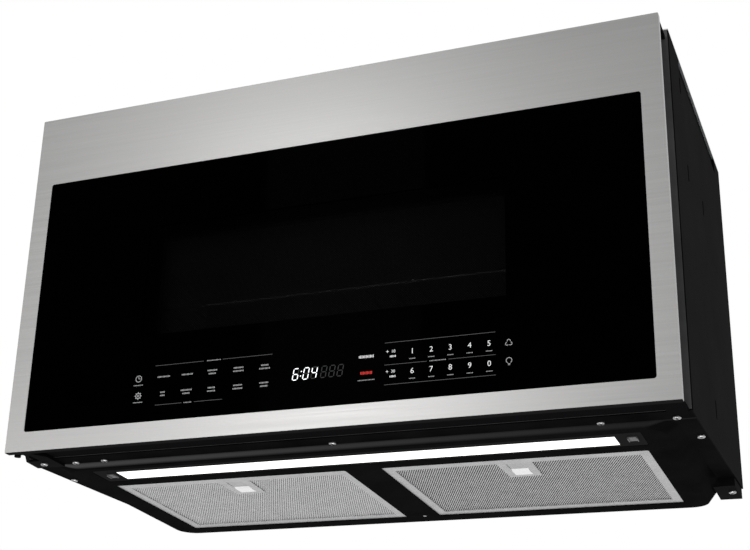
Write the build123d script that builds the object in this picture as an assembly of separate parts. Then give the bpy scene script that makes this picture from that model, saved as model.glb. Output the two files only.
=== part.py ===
from build123d import *
import math
import os

os.makedirs("parts", exist_ok=True)

# Over the range microwave oven. Millimetres. X to the right, Y to the rear, Z up.
# The origin lies under the middle of the housing, at the level of the pan's underside.

# ---------------------------------------------------------------- driving dimensions
BODY_WIDTH = 759.0
OVERALL_DEPTH = 410.0
BODY_HEIGHT = 438.5
SHEET = 1.2                    # steel sheet of the housing
TOUCH = 0.05                   # play between a moving piece and what carries it
RUNNING_PLAY = 0.05            # radial play of a shaft in its bore

DOOR_SIDE_GAP = 2.0            # door's edges inside the housing's sides
DOOR_RISE = 1.5                # door's lower edge above the pan's underside
DOOR_TOP_GAP = 8.0             # door's upper edge below the housing's top
DOOR_DEPTH = 46.0
DOOR_GAP = 2.0                 # between the door's back and the housing's front
DOOR_SKIN = 1.2
SKIN_RETURN = 8.0
SKIN_CORNER_R = 1.4
GLASS_SIDE_INSET = 22.6
GLASS_TOP_INSET = 91.1
GLASS_BOTTOM_INSET = 23.6
GLASS_THICKNESS = 3.2
GLASS_RECESS = 0.3
GLASS_PLAY = 0.5
GLASS_CORNER_R = 3.0
DOOR_BODY_INSET = 6.0          # door body inside the skin's left, top and lower edges
GRIP_DEPTH = 18.5              # finger channel behind the skin's right edge
DOOR_BODY_WALL = 3.0
WINDOW_LEFT_INSET = 105.0      # window inside the oven's left wall
WINDOW_RIGHT_INSET = 33.0
WINDOW_LOW_INSET = 55.5
WINDOW_TOP_INSET = 48.5
TOUCH_BOARD_INSET = 139.9      # touch board inside the glass's ends
TOUCH_BOARD_RISE = 10.9        # and above its lower edge
TOUCH_BOARD_HEIGHT = 64.0
DISPLAY_X = (-26.0, 40.0)
DISPLAY_RISE = 16.0            # display above the touch board's lower edge
DISPLAY_HEIGHT = 25.0

FLANGE_FRONT_Z = 6.5           # underside of the base flange at its front strip
FLANGE_REAR_Z = 22.5           # and at the rear edge
STRIP_DEPTH = 24.0             # level front strip
PAN_SIDE_GAP = 34.5            # pan's foot inside the housing's sides
PAN_SIDE_SLOPE = 15.0
PAN_FRONT_SLOPE = 7.0
PAN_REAR_GAP = 13.0
PAN_REAR_SLOPE = 6.5
PAN_CORNER_R = 24.0

CAVITY_LEFT_SPACE = 61.5       # from the housing's left side to the oven's inside
CAVITY_RIGHT_SPACE = 137.5     # the same at the right, where the electronics stand
CAVITY_REAR_SPACE = 44.6       # for the convection unit, up to the rear panel
CAVITY_ROOF_SPACE = 126.5      # for the vent blower, up to the housing's top
CAVITY_FLOOR_Z = 72.0
CAVITY_WALL = 1.0
BASE_PLATE_Z = 44.0

FILTER_INNER_X = 21.0          # opening's edge beside the centre rib
FILTER_OUTER_GAP = 28.0        # opening inside the pan's foot
FILTER_FRONT_GAP = 19.0        # opening behind the lamp
FILTER_REAR_GAP = 23.0
FILTER_LAP = 5.0               # how far the frame laps the pan at its outer edge
FILTER_INNER_LAP = 4.0
FILTER_THICKNESS = 8.0
FILTER_PLAY = 0.6
FILTER_SIDE_BORDER = 11.0
FILTER_FRONT_BORDER = 18.0
FILTER_REAR_BORDER = 13.0
FILTER_TRAVEL = 10.0

LAMP_END_GAP = 27.0            # lamp inside the pan's foot
LAMP_FRONT_GAP = 9.0
LAMP_WIDTH = 46.0
LAMP_SHIFT = 3.6               # lamp to the right of the housing's middle
LENS_END_GAP = 28.5            # lens inside the lamp
LENS_FRONT_GAP = 10.0
LENS_WIDTH = 28.5
LENS_THICKNESS = 3.0
LAMP_DEPTH = 14.0

HINGE_SIDE_INSET = 11.5        # pin inside the housing's left side
HINGE_INSET = 13.0             # pin behind the door's front
HINGE_PIN_R = 3.0
HINGE_EYE_R = 4.6
HINGE_PLATE = 3.0
HINGE_PLAY = 1.0               # height left between a hinge plate and the door body
HINGE_REACH = 28.0             # bracket's width beside the pin
PIN_ENGAGEMENT = 15.0

SCREW_HEAD_R = 4.2
SCREW_HEAD_H = 2.0
SCREW_SHANK_R = 1.9
SCREW_PLAY = 0.1

TRAY_WALL_GAP = 7.5            # tray's rim inside the oven's front and rear
TRAY_THICKNESS = 4.5
TRAY_RIM_HEIGHT = 12.0
ROLLER_RADIUS = 9.0
ROLLER_WIDTH = 6.0
ROLLER_TRACK_INSET = 47.0      # rollers' track inside the tray's rim
ROLLER_AXLE_R = 2.0
ROLLERS = 3
COUPLER_SHAFT_R = 3.5

RACK_RISE = 114.0              # rack above the oven's floor
RACK_WIRE_R = 2.6
RACK_BAR_R = 1.5
RACK_BARS = 17

BLOWER_BACK_GAP = 95.0         # blower's shaft from the housing's back
BLOWER_DROP = 65.3             # and below the top cover
BLOWER_WHEEL_R = 44.0
BLOWER_WHEEL_WIDTH = 66.0
BLOWER_BLADES = 22
BLOWER_INNER_X = 42.0          # inner side of each scroll
SCROLL_WIDTH = 74.0
SCROLL_START_R = 48.0
SCROLL_END_R = 62.0
SCROLL_WALL = 1.5
BLOWER_SHAFT_R = 4.0

DUCT_WIDTH = 254.0             # 10 in
DUCT_DEPTH = 82.6              # 3 1/4 in
DUCT_HEIGHT = 30.0
DUCT_WALL = 1.2
DUCT_FLANGE = 12.0
DAMPER_PIN_R = 2.0

CONVECTION_CAN_GAP = 12.0      # can inside the oven's height, above and below
CONVECTION_CAN_DEPTH = 22.0
FAN_TIP_GAP = 52.0             # fan's tips inside the can
CONVECTION_SHAFT_R = 3.0
HEATER_GAP = 26.0              # heater's ring inside the can
HEATER_TUBE_R = 3.3

CABINET_BOLT_SPACING = 558.8   # 22 in
CABINET_BOLT_R = 3.4
CABINET_BOLT_BACK_GAP = 245.0
HOOK_SLOT_SPACING = 406.4      # 16 in, the spacing of wall studs
HOOK_SLOT_LENGTH = 32.0
HOOK_SLOT_R = 3.0
HOOK_SLOT_Z = 34.0

# ---------------------------------------------------------------- worked out from them
HALF = BODY_WIDTH / 2
INNER_HALF = HALF - SHEET
FRONT_Y = -OVERALL_DEPTH / 2
BACK_Y = OVERALL_DEPTH / 2
BODY_FRONT_Y = FRONT_Y + DOOR_DEPTH + DOOR_GAP
FRAME_BACK_Y = BODY_FRONT_Y + SHEET
STRIP_END_Y = BODY_FRONT_Y + STRIP_DEPTH
PAN_FRONT_Y = STRIP_END_Y + PAN_FRONT_SLOPE
PAN_REAR_Y = BACK_Y - PAN_REAR_GAP
PAN_HALF_WIDTH = HALF - PAN_SIDE_GAP
PAN_TOP_HALF_WIDTH = PAN_HALF_WIDTH + PAN_SIDE_SLOPE
COVER_Z = BODY_HEIGHT - SHEET
PANEL_BACK_Y = BACK_Y - SHEET

LAMP_HALF_LENGTH = PAN_HALF_WIDTH - LAMP_END_GAP
LAMP_X = (LAMP_SHIFT - LAMP_HALF_LENGTH, LAMP_SHIFT + LAMP_HALF_LENGTH)
LAMP_FRONT_Y = PAN_FRONT_Y + LAMP_FRONT_GAP
LAMP_REAR_Y = LAMP_FRONT_Y + LAMP_WIDTH
LENS_X = (LAMP_X[0] + LENS_END_GAP, LAMP_X[1] - LENS_END_GAP)
LENS_FRONT_Y = LAMP_FRONT_Y + LENS_FRONT_GAP
LENS_REAR_Y = LENS_FRONT_Y + LENS_WIDTH
FILTER_OUTER_X = PAN_HALF_WIDTH - FILTER_OUTER_GAP
FILTER_FRONT_Y = LAMP_REAR_Y + FILTER_FRONT_GAP
FILTER_REAR_Y = PAN_REAR_Y - FILTER_REAR_GAP
HINGE_X = -HALF + HINGE_SIDE_INSET
HINGE_Y = FRONT_Y + HINGE_INSET
HINGE_REACH_X = HINGE_X + HINGE_REACH
CABINET_BOLT_Y = BACK_Y - CABINET_BOLT_BACK_GAP

DOOR_HALF = HALF - DOOR_SIDE_GAP
DOOR_LOW_Z = DOOR_RISE
DOOR_TOP_Z = BODY_HEIGHT - DOOR_TOP_GAP
DOOR_BACK_Y = FRONT_Y + DOOR_DEPTH
SKIN_BACK_Y = FRONT_Y + DOOR_SKIN
GLASS_X = (-DOOR_HALF + GLASS_SIDE_INSET, DOOR_HALF - GLASS_SIDE_INSET)
GLASS_Z = (DOOR_LOW_Z + GLASS_BOTTOM_INSET, DOOR_TOP_Z - GLASS_TOP_INSET)
GLASS_FRONT_Y = FRONT_Y + GLASS_RECESS
GLASS_BACK_Y = GLASS_FRONT_Y + GLASS_THICKNESS
DOOR_BODY_X = (-DOOR_HALF + DOOR_BODY_INSET, DOOR_HALF - GRIP_DEPTH)
DOOR_BODY_Z = (DOOR_LOW_Z + DOOR_BODY_INSET, DOOR_TOP_Z - DOOR_BODY_INSET)

CAVITY_X = (-HALF + CAVITY_LEFT_SPACE, HALF - CAVITY_RIGHT_SPACE)
CAVITY_Y = (FRAME_BACK_Y, PANEL_BACK_Y - CAVITY_REAR_SPACE)
CAVITY_Z = (CAVITY_FLOOR_Z, BODY_HEIGHT - CAVITY_ROOF_SPACE)
CAVITY_MID_X = sum(CAVITY_X) / 2
CAVITY_MID_Y = sum(CAVITY_Y) / 2
CAVITY_MID_Z = sum(CAVITY_Z) / 2
CAVITY_BACK_Y = CAVITY_Y[1] + CAVITY_WALL
CAVITY_TOP_Z = CAVITY_Z[1] + CAVITY_WALL
CAVITY_RIGHT_X = CAVITY_X[1] + CAVITY_WALL
CAVITY_UNDER_Z = CAVITY_FLOOR_Z - CAVITY_WALL
BASE_PLATE_TOP_Z = BASE_PLATE_Z + SHEET
WINDOW_X = (CAVITY_X[0] + WINDOW_LEFT_INSET, CAVITY_X[1] - WINDOW_RIGHT_INSET)
WINDOW_Z = (CAVITY_Z[0] + WINDOW_LOW_INSET, CAVITY_Z[1] - WINDOW_TOP_INSET)
TOUCH_BOARD_X = (GLASS_X[0] + TOUCH_BOARD_INSET, GLASS_X[1] - TOUCH_BOARD_INSET)
TOUCH_BOARD_Z = (GLASS_Z[0] + TOUCH_BOARD_RISE, GLASS_Z[0] + TOUCH_BOARD_RISE + TOUCH_BOARD_HEIGHT)
DISPLAY_Z = (TOUCH_BOARD_Z[0] + DISPLAY_RISE, TOUCH_BOARD_Z[0] + DISPLAY_RISE + DISPLAY_HEIGHT)
TRAY_RADIUS = (CAVITY_Y[1] - CAVITY_Y[0]) / 2 - TRAY_WALL_GAP
ROLLER_TRACK_R = TRAY_RADIUS - ROLLER_TRACK_INSET
RACK_Z = CAVITY_FLOOR_Z + RACK_RISE
CONVECTION_CAN_R = (CAVITY_Z[1] - CAVITY_Z[0]) / 2 - CONVECTION_CAN_GAP
CONVECTION_FAN_R = CONVECTION_CAN_R - FAN_TIP_GAP
HEATER_RING_R = CONVECTION_CAN_R - HEATER_GAP
BLOWER_Y = BACK_Y - BLOWER_BACK_GAP
BLOWER_Z = COVER_Z - BLOWER_DROP
EXHAUST_Y = BLOWER_Y - (SCROLL_END_R - SCROLL_START_R / 2) / 2
SCROLL_TONGUE_DEG = 60.0


# ---------------------------------------------------------------- shape helpers
def block(x, y, z):
    """Box between three (low, high) pairs."""
    size = Box(x[1] - x[0], y[1] - y[0], z[1] - z[0], align=(Align.MIN, Align.MIN, Align.MIN))
    return Pos(x[0], y[0], z[0]) * size


def rod_z(radius, x, y, z):
    """Upright cylinder between the two heights in z."""
    return Pos(x, y, z[0]) * Cylinder(
        radius,
        z[1] - z[0],
        align=(Align.CENTER, Align.CENTER, Align.MIN),
    )


def rod_y(radius, x, y, z):
    """Cylinder along Y between the two places in y."""
    turned = Rot(-90, 0, 0) * Cylinder(
        radius,
        y[1] - y[0],
        align=(Align.CENTER, Align.CENTER, Align.MIN),
    )
    return Pos(x, y[0], z) * turned


def rod_x(radius, x, y, z):
    """Cylinder along X between the two places in x."""
    turned = Rot(0, 90, 0) * Cylinder(
        radius,
        x[1] - x[0],
        align=(Align.CENTER, Align.CENTER, Align.MIN),
    )
    return Pos(x[0], y, z) * turned


def prism_x(points, x):
    """Prism along X over an outline of (y, z) points."""
    face = Plane.YZ * Polygon(*points, align=None)
    return Pos(x[0], 0, 0) * extrude(face, x[1] - x[0])


def prism_y(points, y):
    """Prism along Y over an outline of (x, z) points."""
    face = Plane.XZ * Polygon(*points, align=None)
    return Pos(0, y[1], 0) * extrude(face, y[1] - y[0])


def prism_z(points, z):
    """Prism along Z over an outline of (x, y) points."""
    return Pos(0, 0, z[0]) * extrude(Polygon(*points, align=None), z[1] - z[0])


def rounded_plate_y(x, y, z, radius):
    """Upright plate with rounded corners, thick along Y."""
    face = RectangleRounded(x[1] - x[0], z[1] - z[0], radius)
    plane = Plane(origin=(sum(x) / 2, y[1], sum(z) / 2), x_dir=(1, 0, 0), z_dir=(0, -1, 0))
    return extrude(plane * face, y[1] - y[0])


def rounded_plate_z(x, y, z, radius):
    """Level plate with rounded corners, thick along Z."""
    face = RectangleRounded(x[1] - x[0], y[1] - y[0], radius)
    return Pos(sum(x) / 2, sum(y) / 2, z[0]) * extrude(face, z[1] - z[0])


def grow(pair, amount):
    """Pair widened by an amount at both ends."""
    return (pair[0] - amount, pair[1] + amount)


def mirror_x(shape):
    """Copy on the other side of the housing's middle."""
    return mirror(shape, Plane.YZ)


def spread(first, last, count):
    """Evenly spaced values from first to last."""
    step = (last - first) / (count - 1)
    return [first + step * number for number in range(count)]


# ---------------------------------------------------------------- housing
FLANGE_SLOPE = (FLANGE_REAR_Z - FLANGE_FRONT_Z) / (BACK_Y - STRIP_END_Y)


def flange_z(y):
    """Underside of the base flange at a depth y."""
    return FLANGE_FRONT_Z + max(0.0, y - STRIP_END_Y) * FLANGE_SLOPE


STRIP_SCREW_Y = BODY_FRONT_Y + 19.5
STRIP_SCREW_X = (-HALF + 56.5, -HALF + 94.5, -3.0, HALF - 93.5, HALF - 18.5)
EDGE_SCREW_X = HALF - 7.5
EDGE_SCREW_Y = BODY_FRONT_Y + 99.0
FOOT_X = (HALF - 25.5, INNER_HALF)
FOOT_Y = (BACK_Y - 63.0, BACK_Y - 5.0)
FOOT_Z = 9.5
FOOT_SHEET = 1.5
FOOT_SCREW = (HALF - 7.5, FOOT_Y[0] + 24.0)


def front_frame():
    """Front plate round the cavity's mouth, with side returns and the two latch slots."""
    plate = block(
        (-INNER_HALF, INNER_HALF),
        (BODY_FRONT_Y, FRAME_BACK_Y),
        (FLANGE_FRONT_Z + SHEET, COVER_Z),
    )
    mouth = block(CAVITY_X, grow((BODY_FRONT_Y, FRAME_BACK_Y), 1), CAVITY_Z)
    slots = [
        block(grow(LATCH_X, LATCH_PLAY), grow((BODY_FRONT_Y, FRAME_BACK_Y), 1), latch_slot_z(z))
        for z in LATCH_HOOK_Z
    ]
    side = block(
        (INNER_HALF - SHEET, INNER_HALF),
        (FRAME_BACK_Y, FRAME_BACK_Y + 12),
        (FLANGE_FRONT_Z + SHEET, COVER_Z),
    )
    rails = [side, mirror_x(side)]
    return plate - mouth - slots + rails


JOGGLE_Y = (BODY_FRONT_Y + 65.0, BACK_Y - 40.0)
JOGGLE_DROP = 20.0
JOGGLE_DEPTH = 2.6
LANCE_WIDTH = 6.0
LANCE_PLACES = (                # depth, height and length of each
    (JOGGLE_Y[0], COVER_Z - 34.3, 20.0),
    (JOGGLE_Y[0] + 18.0, COVER_Z - 134.3, 20.0),
    (BACK_Y - 176.0, COVER_Z - 130.3, 19.0),
    (BACK_Y - 190.0, 60.0, 21.0),
)


def lance_cut(y, z, length):
    """Opening of one lanced slot in the right side panel."""
    return block(
        grow((INNER_HALF, HALF), 1),
        (y - LANCE_WIDTH / 2, y + LANCE_WIDTH / 2),
        (z - length / 2, z + length / 2),
    )


def lance_tongue(y, z, length):
    """Tongue of one lanced slot, flush below and pushed inwards above."""
    low = z - length / 2
    high = z + length / 4
    lean = 4.0
    points = [(HALF, low), (HALF - lean, high), (HALF - lean - SHEET, high), (INNER_HALF, low)]
    return prism_y(points, (y - LANCE_WIDTH / 2, y + LANCE_WIDTH / 2))


def side_panel():
    """Right side panel: sheet with a top flange, a stepped top edge and lanced slots."""
    front = BODY_FRONT_Y + SHEET + 1.0
    outline = [
        (front, FLANGE_FRONT_Z),
        (STRIP_END_Y, FLANGE_FRONT_Z),
        (BACK_Y, FLANGE_REAR_Z),
        (BACK_Y, COVER_Z),
        (front, COVER_Z),
    ]
    sheet = prism_x(outline, (INNER_HALF, HALF))
    flange = block(
        (INNER_HALF - 14, INNER_HALF),
        (FRAME_BACK_Y + 14, PANEL_BACK_Y),
        (COVER_Z - SHEET, COVER_Z),
    )
    low = COVER_Z - JOGGLE_DROP
    pocket = block((HALF - JOGGLE_DEPTH, HALF + 1), JOGGLE_Y, (low, COVER_Z + 1))
    skin = block(
        (HALF - JOGGLE_DEPTH - SHEET, HALF - JOGGLE_DEPTH),
        grow(JOGGLE_Y, SHEET),
        (low - SHEET, COVER_Z),
    )
    shelf = block((HALF - JOGGLE_DEPTH - SHEET, HALF), grow(JOGGLE_Y, SHEET), (low - SHEET, low))
    ends = [
        block((HALF - JOGGLE_DEPTH - SHEET, HALF), (JOGGLE_Y[0] - SHEET, JOGGLE_Y[0]), (low, COVER_Z)),
        block((HALF - JOGGLE_DEPTH - SHEET, HALF), (JOGGLE_Y[1], JOGGLE_Y[1] + SHEET), (low, COVER_Z)),
    ]
    panel = sheet + flange - pocket + skin + shelf + ends
    panel = panel - [lance_cut(*place) for place in LANCE_PLACES]
    return panel + [lance_tongue(*place) for place in LANCE_PLACES]


LOUVRE_COUNT = 16
LOUVRE_SIZE = (26.0, 5.0)
LOUVRE_SPAN = BODY_WIDTH - 219.0
LOUVRE_ROWS = (BODY_FRONT_Y + 19.0, BODY_FRONT_Y + 35.0, BODY_FRONT_Y + 51.0)
CORD_HOLE_R = 11.0
CORD_HOLE_PLACE = (HALF - 129.5, BACK_Y - 55.0)


def top_cover():
    """Top sheet with louvres, the exhaust opening, cabinet bolt holes and the cord hole."""
    sheet = block((-HALF, HALF), (BODY_FRONT_Y, BACK_Y), (COVER_Z, BODY_HEIGHT))
    through = grow((COVER_Z, BODY_HEIGHT), 1)
    cuts = [block((-duct_inner_half(), duct_inner_half()), duct_inner_y(), through)]
    for y in LOUVRE_ROWS:
        for x in spread(-LOUVRE_SPAN / 2, LOUVRE_SPAN / 2, LOUVRE_COUNT):
            cuts.append(
                block(grow((x, x), LOUVRE_SIZE[0] / 2), grow((y, y), LOUVRE_SIZE[1] / 2), through)
            )
    for x in (-CABINET_BOLT_SPACING / 2, CABINET_BOLT_SPACING / 2):
        cuts.append(rod_z(CABINET_BOLT_R, x, CABINET_BOLT_Y, grow((COVER_Z - 6, BODY_HEIGHT), 1)))
    cuts.append(rod_z(CORD_HOLE_R, *CORD_HOLE_PLACE, through))
    bosses = [
        rod_z(CABINET_BOLT_R + 4, x, CABINET_BOLT_Y, (COVER_Z - 6, COVER_Z))
        for x in (-CABINET_BOLT_SPACING / 2, CABINET_BOLT_SPACING / 2)
    ]
    return sheet + bosses - cuts


RIB_HALF_LENGTH = HALF - 79.5
RIB_HEIGHT = 14.0
RIB_PLACES = (COVER_Z - 107.3, COVER_Z - 37.3)


def back_panel():
    """Rear sheet with two long slots for the wall bracket's hooks and two stiffening ribs."""
    sheet = block((-INNER_HALF, INNER_HALF), (PANEL_BACK_Y, BACK_Y), (FLANGE_REAR_Z + SHEET, COVER_Z))
    slots = []
    for x in (-HOOK_SLOT_SPACING / 2, HOOK_SLOT_SPACING / 2):
        middle = HOOK_SLOT_LENGTH / 2 - HOOK_SLOT_R
        slots.append(
            block(
                grow((x, x), middle),
                grow((PANEL_BACK_Y, BACK_Y), 1),
                grow((HOOK_SLOT_Z, HOOK_SLOT_Z), HOOK_SLOT_R),
            )
        )
        slots.append(rod_y(HOOK_SLOT_R, x - middle, grow((PANEL_BACK_Y, BACK_Y), 1), HOOK_SLOT_Z))
        slots.append(rod_y(HOOK_SLOT_R, x + middle, grow((PANEL_BACK_Y, BACK_Y), 1), HOOK_SLOT_Z))
    length = (-RIB_HALF_LENGTH, RIB_HALF_LENGTH)
    grooves = [
        block(length, (BACK_Y - SHEET / 2, BACK_Y + 1), (z, z + RIB_HEIGHT))
        for z in RIB_PLACES
    ]
    ribs = [
        block(
            grow(length, SHEET),
            (PANEL_BACK_Y - SHEET / 2, PANEL_BACK_Y),
            grow((z, z + RIB_HEIGHT), SHEET),
        )
        for z in RIB_PLACES
    ]
    return sheet - slots - grooves + ribs


def pan_loft(inset, floor_z, lift):
    """Solid of the drawn pan: a level foot outline lofted up to the sloping flange."""
    foot_y = (PAN_FRONT_Y + inset, PAN_REAR_Y - inset)
    foot = RectangleRounded(2 * (PAN_HALF_WIDTH - inset), foot_y[1] - foot_y[0], PAN_CORNER_R - inset)
    tilt = math.atan(FLANGE_SLOPE)
    head_y = (STRIP_END_Y + inset, PAN_REAR_Y + PAN_REAR_SLOPE - inset)
    middle_y = sum(head_y) / 2
    middle_z = flange_z(middle_y) + SHEET + lift
    head_plane = Plane(
        origin=(0, middle_y, middle_z),
        x_dir=(1, 0, 0),
        z_dir=(0, -math.sin(tilt), math.cos(tilt)),
    )
    length = (head_y[1] - head_y[0]) / math.cos(tilt)
    head = RectangleRounded(2 * (PAN_TOP_HALF_WIDTH - inset), length, PAN_CORNER_R - inset)
    return loft([Pos(0, sum(foot_y) / 2, floor_z) * foot, head_plane * head], ruled=True)


def filter_opening():
    """Right filter's opening in the pan, as X and Y pairs."""
    return (FILTER_INNER_X, FILTER_OUTER_X), (FILTER_FRONT_Y, FILTER_REAR_Y)


def base_pan():
    """Underside: level front strip, sloping side flanges and the drawn pan with its openings."""
    profile = [
        (BODY_FRONT_Y, FLANGE_FRONT_Z),
        (STRIP_END_Y, FLANGE_FRONT_Z),
        (PANEL_BACK_Y, flange_z(PANEL_BACK_Y)),
        (PANEL_BACK_Y, flange_z(PANEL_BACK_Y) + SHEET),
        (STRIP_END_Y, FLANGE_FRONT_Z + SHEET),
        (BODY_FRONT_Y, FLANGE_FRONT_Z + SHEET),
    ]
    flange = prism_x(profile, (-INNER_HALF, INNER_HALF))
    pan = flange + pan_loft(0.0, 0.0, 0.0) - pan_loft(SHEET, SHEET, 0.02)
    through = (-1.0, SHEET + 1.0)
    opening_x, opening_y = filter_opening()
    right = rounded_plate_z(opening_x, opening_y, through, 3.0)
    lamp = rounded_plate_z(LAMP_X, (LAMP_FRONT_Y, LAMP_REAR_Y), through, 3.0)
    places = flange_screw_places() + [HINGE_SCREW]
    holes = [rod_z(SCREW_SHANK_R + SCREW_PLAY, x, y, (0.0, 30.0)) for x, y in places]
    back = block(
        (-INNER_HALF, INNER_HALF),
        (PANEL_BACK_Y, BACK_Y),
        (FLANGE_REAR_Z, FLANGE_REAR_Z + SHEET),
    )
    return pan - right - mirror_x(right) - lamp - holes + back


def flange_screw_places():
    """Screws that enter the flange from below, as (x, y)."""
    strip = [(x, STRIP_SCREW_Y) for x in STRIP_SCREW_X]
    edges = [(EDGE_SCREW_X, EDGE_SCREW_Y), (-EDGE_SCREW_X, EDGE_SCREW_Y)]
    return strip + edges


def screw_seat_z(y):
    """Height of a screw head's seat, clear of the sloping flange."""
    return flange_z(y - SCREW_HEAD_R)


def screw_up(x, y, seat_z):
    """Pan head screw driven upwards, its head under the seat."""
    shank = rod_z(SCREW_SHANK_R, x, y, (seat_z, seat_z + 6.0))
    head = rod_z(SCREW_HEAD_R, x, y, (seat_z - SCREW_HEAD_H, seat_z))
    rim = head.edges().filter_by(GeomType.CIRCLE).sort_by(Axis.Z)[0]
    return shank + fillet(rim, SCREW_HEAD_H * 0.6)


def housing_screws():
    """Screws of the underside: front strip, edges, rear foot and the lower hinge."""
    screws = [screw_up(x, y, screw_seat_z(y)) for x, y in flange_screw_places()]
    screws.append(screw_up(*FOOT_SCREW, FOOT_Z))
    screws.append(screw_up(*HINGE_SCREW, FLANGE_FRONT_Z - HINGE_PLATE))
    return Compound(children=screws)


def rear_foot():
    """Bent bracket at the right rear corner: level plate, front riser and outer riser."""
    seat = prism_y([(FOOT_X[0], FOOT_Z), (FOOT_X[1], FOOT_Z), (FOOT_X[1], FOOT_Z + FOOT_SHEET),
                    (FOOT_X[0], FOOT_Z + FOOT_SHEET)], FOOT_Y)
    front = (FOOT_Y[0] - FOOT_SHEET, FOOT_Y[0])
    riser = block((PAN_TOP_HALF_WIDTH + 1, FOOT_X[1]), front, (FOOT_Z, flange_z(front[0])))
    outline = [
        (front[0], FOOT_Z),
        (FOOT_Y[1], FOOT_Z),
        (FOOT_Y[1], flange_z(FOOT_Y[1])),
        (front[0], flange_z(front[0])),
    ]
    outer = prism_x(outline, (FOOT_X[1] - FOOT_SHEET, FOOT_X[1]))
    return seat + riser + outer - rod_z(
        SCREW_SHANK_R + SCREW_PLAY,
        *FOOT_SCREW,
        (FOOT_Z - 1, FOOT_Z + 4),
    )


AIR_WAY_X = (HALF - 189.5, HALF - 13.5)


def base_plate():
    """Inner floor over the filter plenum, with air ways at the rear corners."""
    plate = block(
        (-INNER_HALF, INNER_HALF),
        (FRAME_BACK_Y, PANEL_BACK_Y),
        (BASE_PLATE_Z, BASE_PLATE_TOP_Z),
    )
    way = block(
        AIR_WAY_X,
        (CAVITY_BACK_Y + 6, PANEL_BACK_Y - 4),
        grow((BASE_PLATE_Z, BASE_PLATE_TOP_Z), 1),
    )
    side = block(
        (INNER_HALF - SHEET, INNER_HALF),
        (FRAME_BACK_Y + 12, FRAME_BACK_Y + 20),
        (BASE_PLATE_Z - 1, BASE_PLATE_TOP_Z + 1),
    )
    returns = block(
        (INNER_HALF - SHEET, INNER_HALF),
        (FRAME_BACK_Y, FRAME_BACK_Y + 12),
        grow((BASE_PLATE_Z, BASE_PLATE_TOP_Z), 1),
    )
    return plate - way - mirror_x(way) - side - mirror_x(side) - returns - mirror_x(returns)


# ---------------------------------------------------------------- lamp and filters
def lamp_holder():
    """Black trough of the cooktop light: side walls, lapping rim, roof and lens window."""
    play = 0.6
    x = grow(LAMP_X, -play)
    y = grow((LAMP_FRONT_Y, LAMP_REAR_Y), -play)
    wall = 1.6
    shell = rounded_plate_z(x, y, (0.3, LAMP_DEPTH), 2.4)
    hollow = block(grow(x, -wall), grow(y, -wall), (0.3 + LENS_THICKNESS, LAMP_DEPTH - wall))
    rim = block(grow(x, 4), grow(y, 2.5), (SHEET, SHEET + wall))
    window = block(*lens_window(), (-1, 0.4 + LENS_THICKNESS))
    return shell + rim - hollow - window


def lens_window():
    """Lens outline as X and Y pairs."""
    return LENS_X, (LENS_FRONT_Y, LENS_REAR_Y)


def lamp_lens():
    """White lens bar, lapped over the holder's floor."""
    x, y = lens_window()
    bar = block(grow(x, -0.2), grow(y, -0.2), (0.1, 0.3 + LENS_THICKNESS))
    lap = block(grow(x, 3), grow(y, 3), (0.3 + LENS_THICKNESS, 0.3 + LENS_THICKNESS + 1.2))
    return bar + lap


def lamp_board():
    """Light emitting strip under the trough's roof."""
    roof = LAMP_DEPTH - 1.6
    board = block(grow(LENS_X, -6), (LENS_FRONT_Y + 9, LENS_REAR_Y - 9), (roof - 1.6, roof))
    chips = [
        block(
            grow((x, x), 2),
            grow(((LENS_FRONT_Y + LENS_REAR_Y) / 2,) * 2, 2),
            (roof - 2.4, roof - 1.6),
        )
        for x in spread(LENS_X[0] + 30, LENS_X[1] - 30, 12)
    ]
    return board + chips


FILTER_LOW_Z = SHEET + TOUCH
PLATE_HALF_WIDTH = 20.0
PLATE_TAPER = 2.0
PLATE_LENGTH = 54.0
TAB_HALF_WIDTH = 9.5


def filter_frame_pairs():
    """Right filter's outer size and mesh window, as X and Y pairs."""
    opening_x, opening_y = filter_opening()
    outer_x = (opening_x[0] - FILTER_INNER_LAP, opening_x[1] + FILTER_LAP)
    outer_y = grow(opening_y, -FILTER_PLAY)
    mesh_x = grow(opening_x, -FILTER_SIDE_BORDER)
    mesh_y = (opening_y[0] + FILTER_FRONT_BORDER, opening_y[1] - FILTER_REAR_BORDER)
    return outer_x, outer_y, mesh_x, mesh_y


def pull_place():
    """Middle of the right filter's width, and the front and rear of its latch plate."""
    mesh_x, mesh_y = filter_frame_pairs()[2:]
    return sum(mesh_x) / 2, mesh_y[0], mesh_y[0] + PLATE_LENGTH


def filter_frame():
    """Aluminium frame: folded channel on four sides and a tapered latch plate in front."""
    outer_x, outer_y, mesh_x, mesh_y = filter_frame_pairs()
    high = FILTER_LOW_Z + FILTER_THICKNESS
    frame = rounded_plate_z(outer_x, outer_y, (FILTER_LOW_Z, high), 2.0)
    window = block(mesh_x, mesh_y, (FILTER_LOW_Z - 1, high + 1))
    channel = block(grow(outer_x, -1.2), grow(outer_y, -1.2), (FILTER_LOW_Z + 1.2, high - 1.2))
    x, front, rear = pull_place()
    corners = [
        (x - PLATE_HALF_WIDTH, front - 0.5),
        (x + PLATE_HALF_WIDTH, front - 0.5),
        (x + PLATE_HALF_WIDTH - PLATE_TAPER, rear),
        (x - PLATE_HALF_WIDTH + PLATE_TAPER, rear),
    ]
    plate = prism_z(corners, (FILTER_LOW_Z, FILTER_LOW_Z + 1.0))
    lip = block(
        grow((x, x), TAB_HALF_WIDTH + 0.4),
        (front + 2, rear - 12),
        (FILTER_LOW_Z - 1, FILTER_LOW_Z + 2),
    )
    return frame - channel - window + plate - lip


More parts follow.
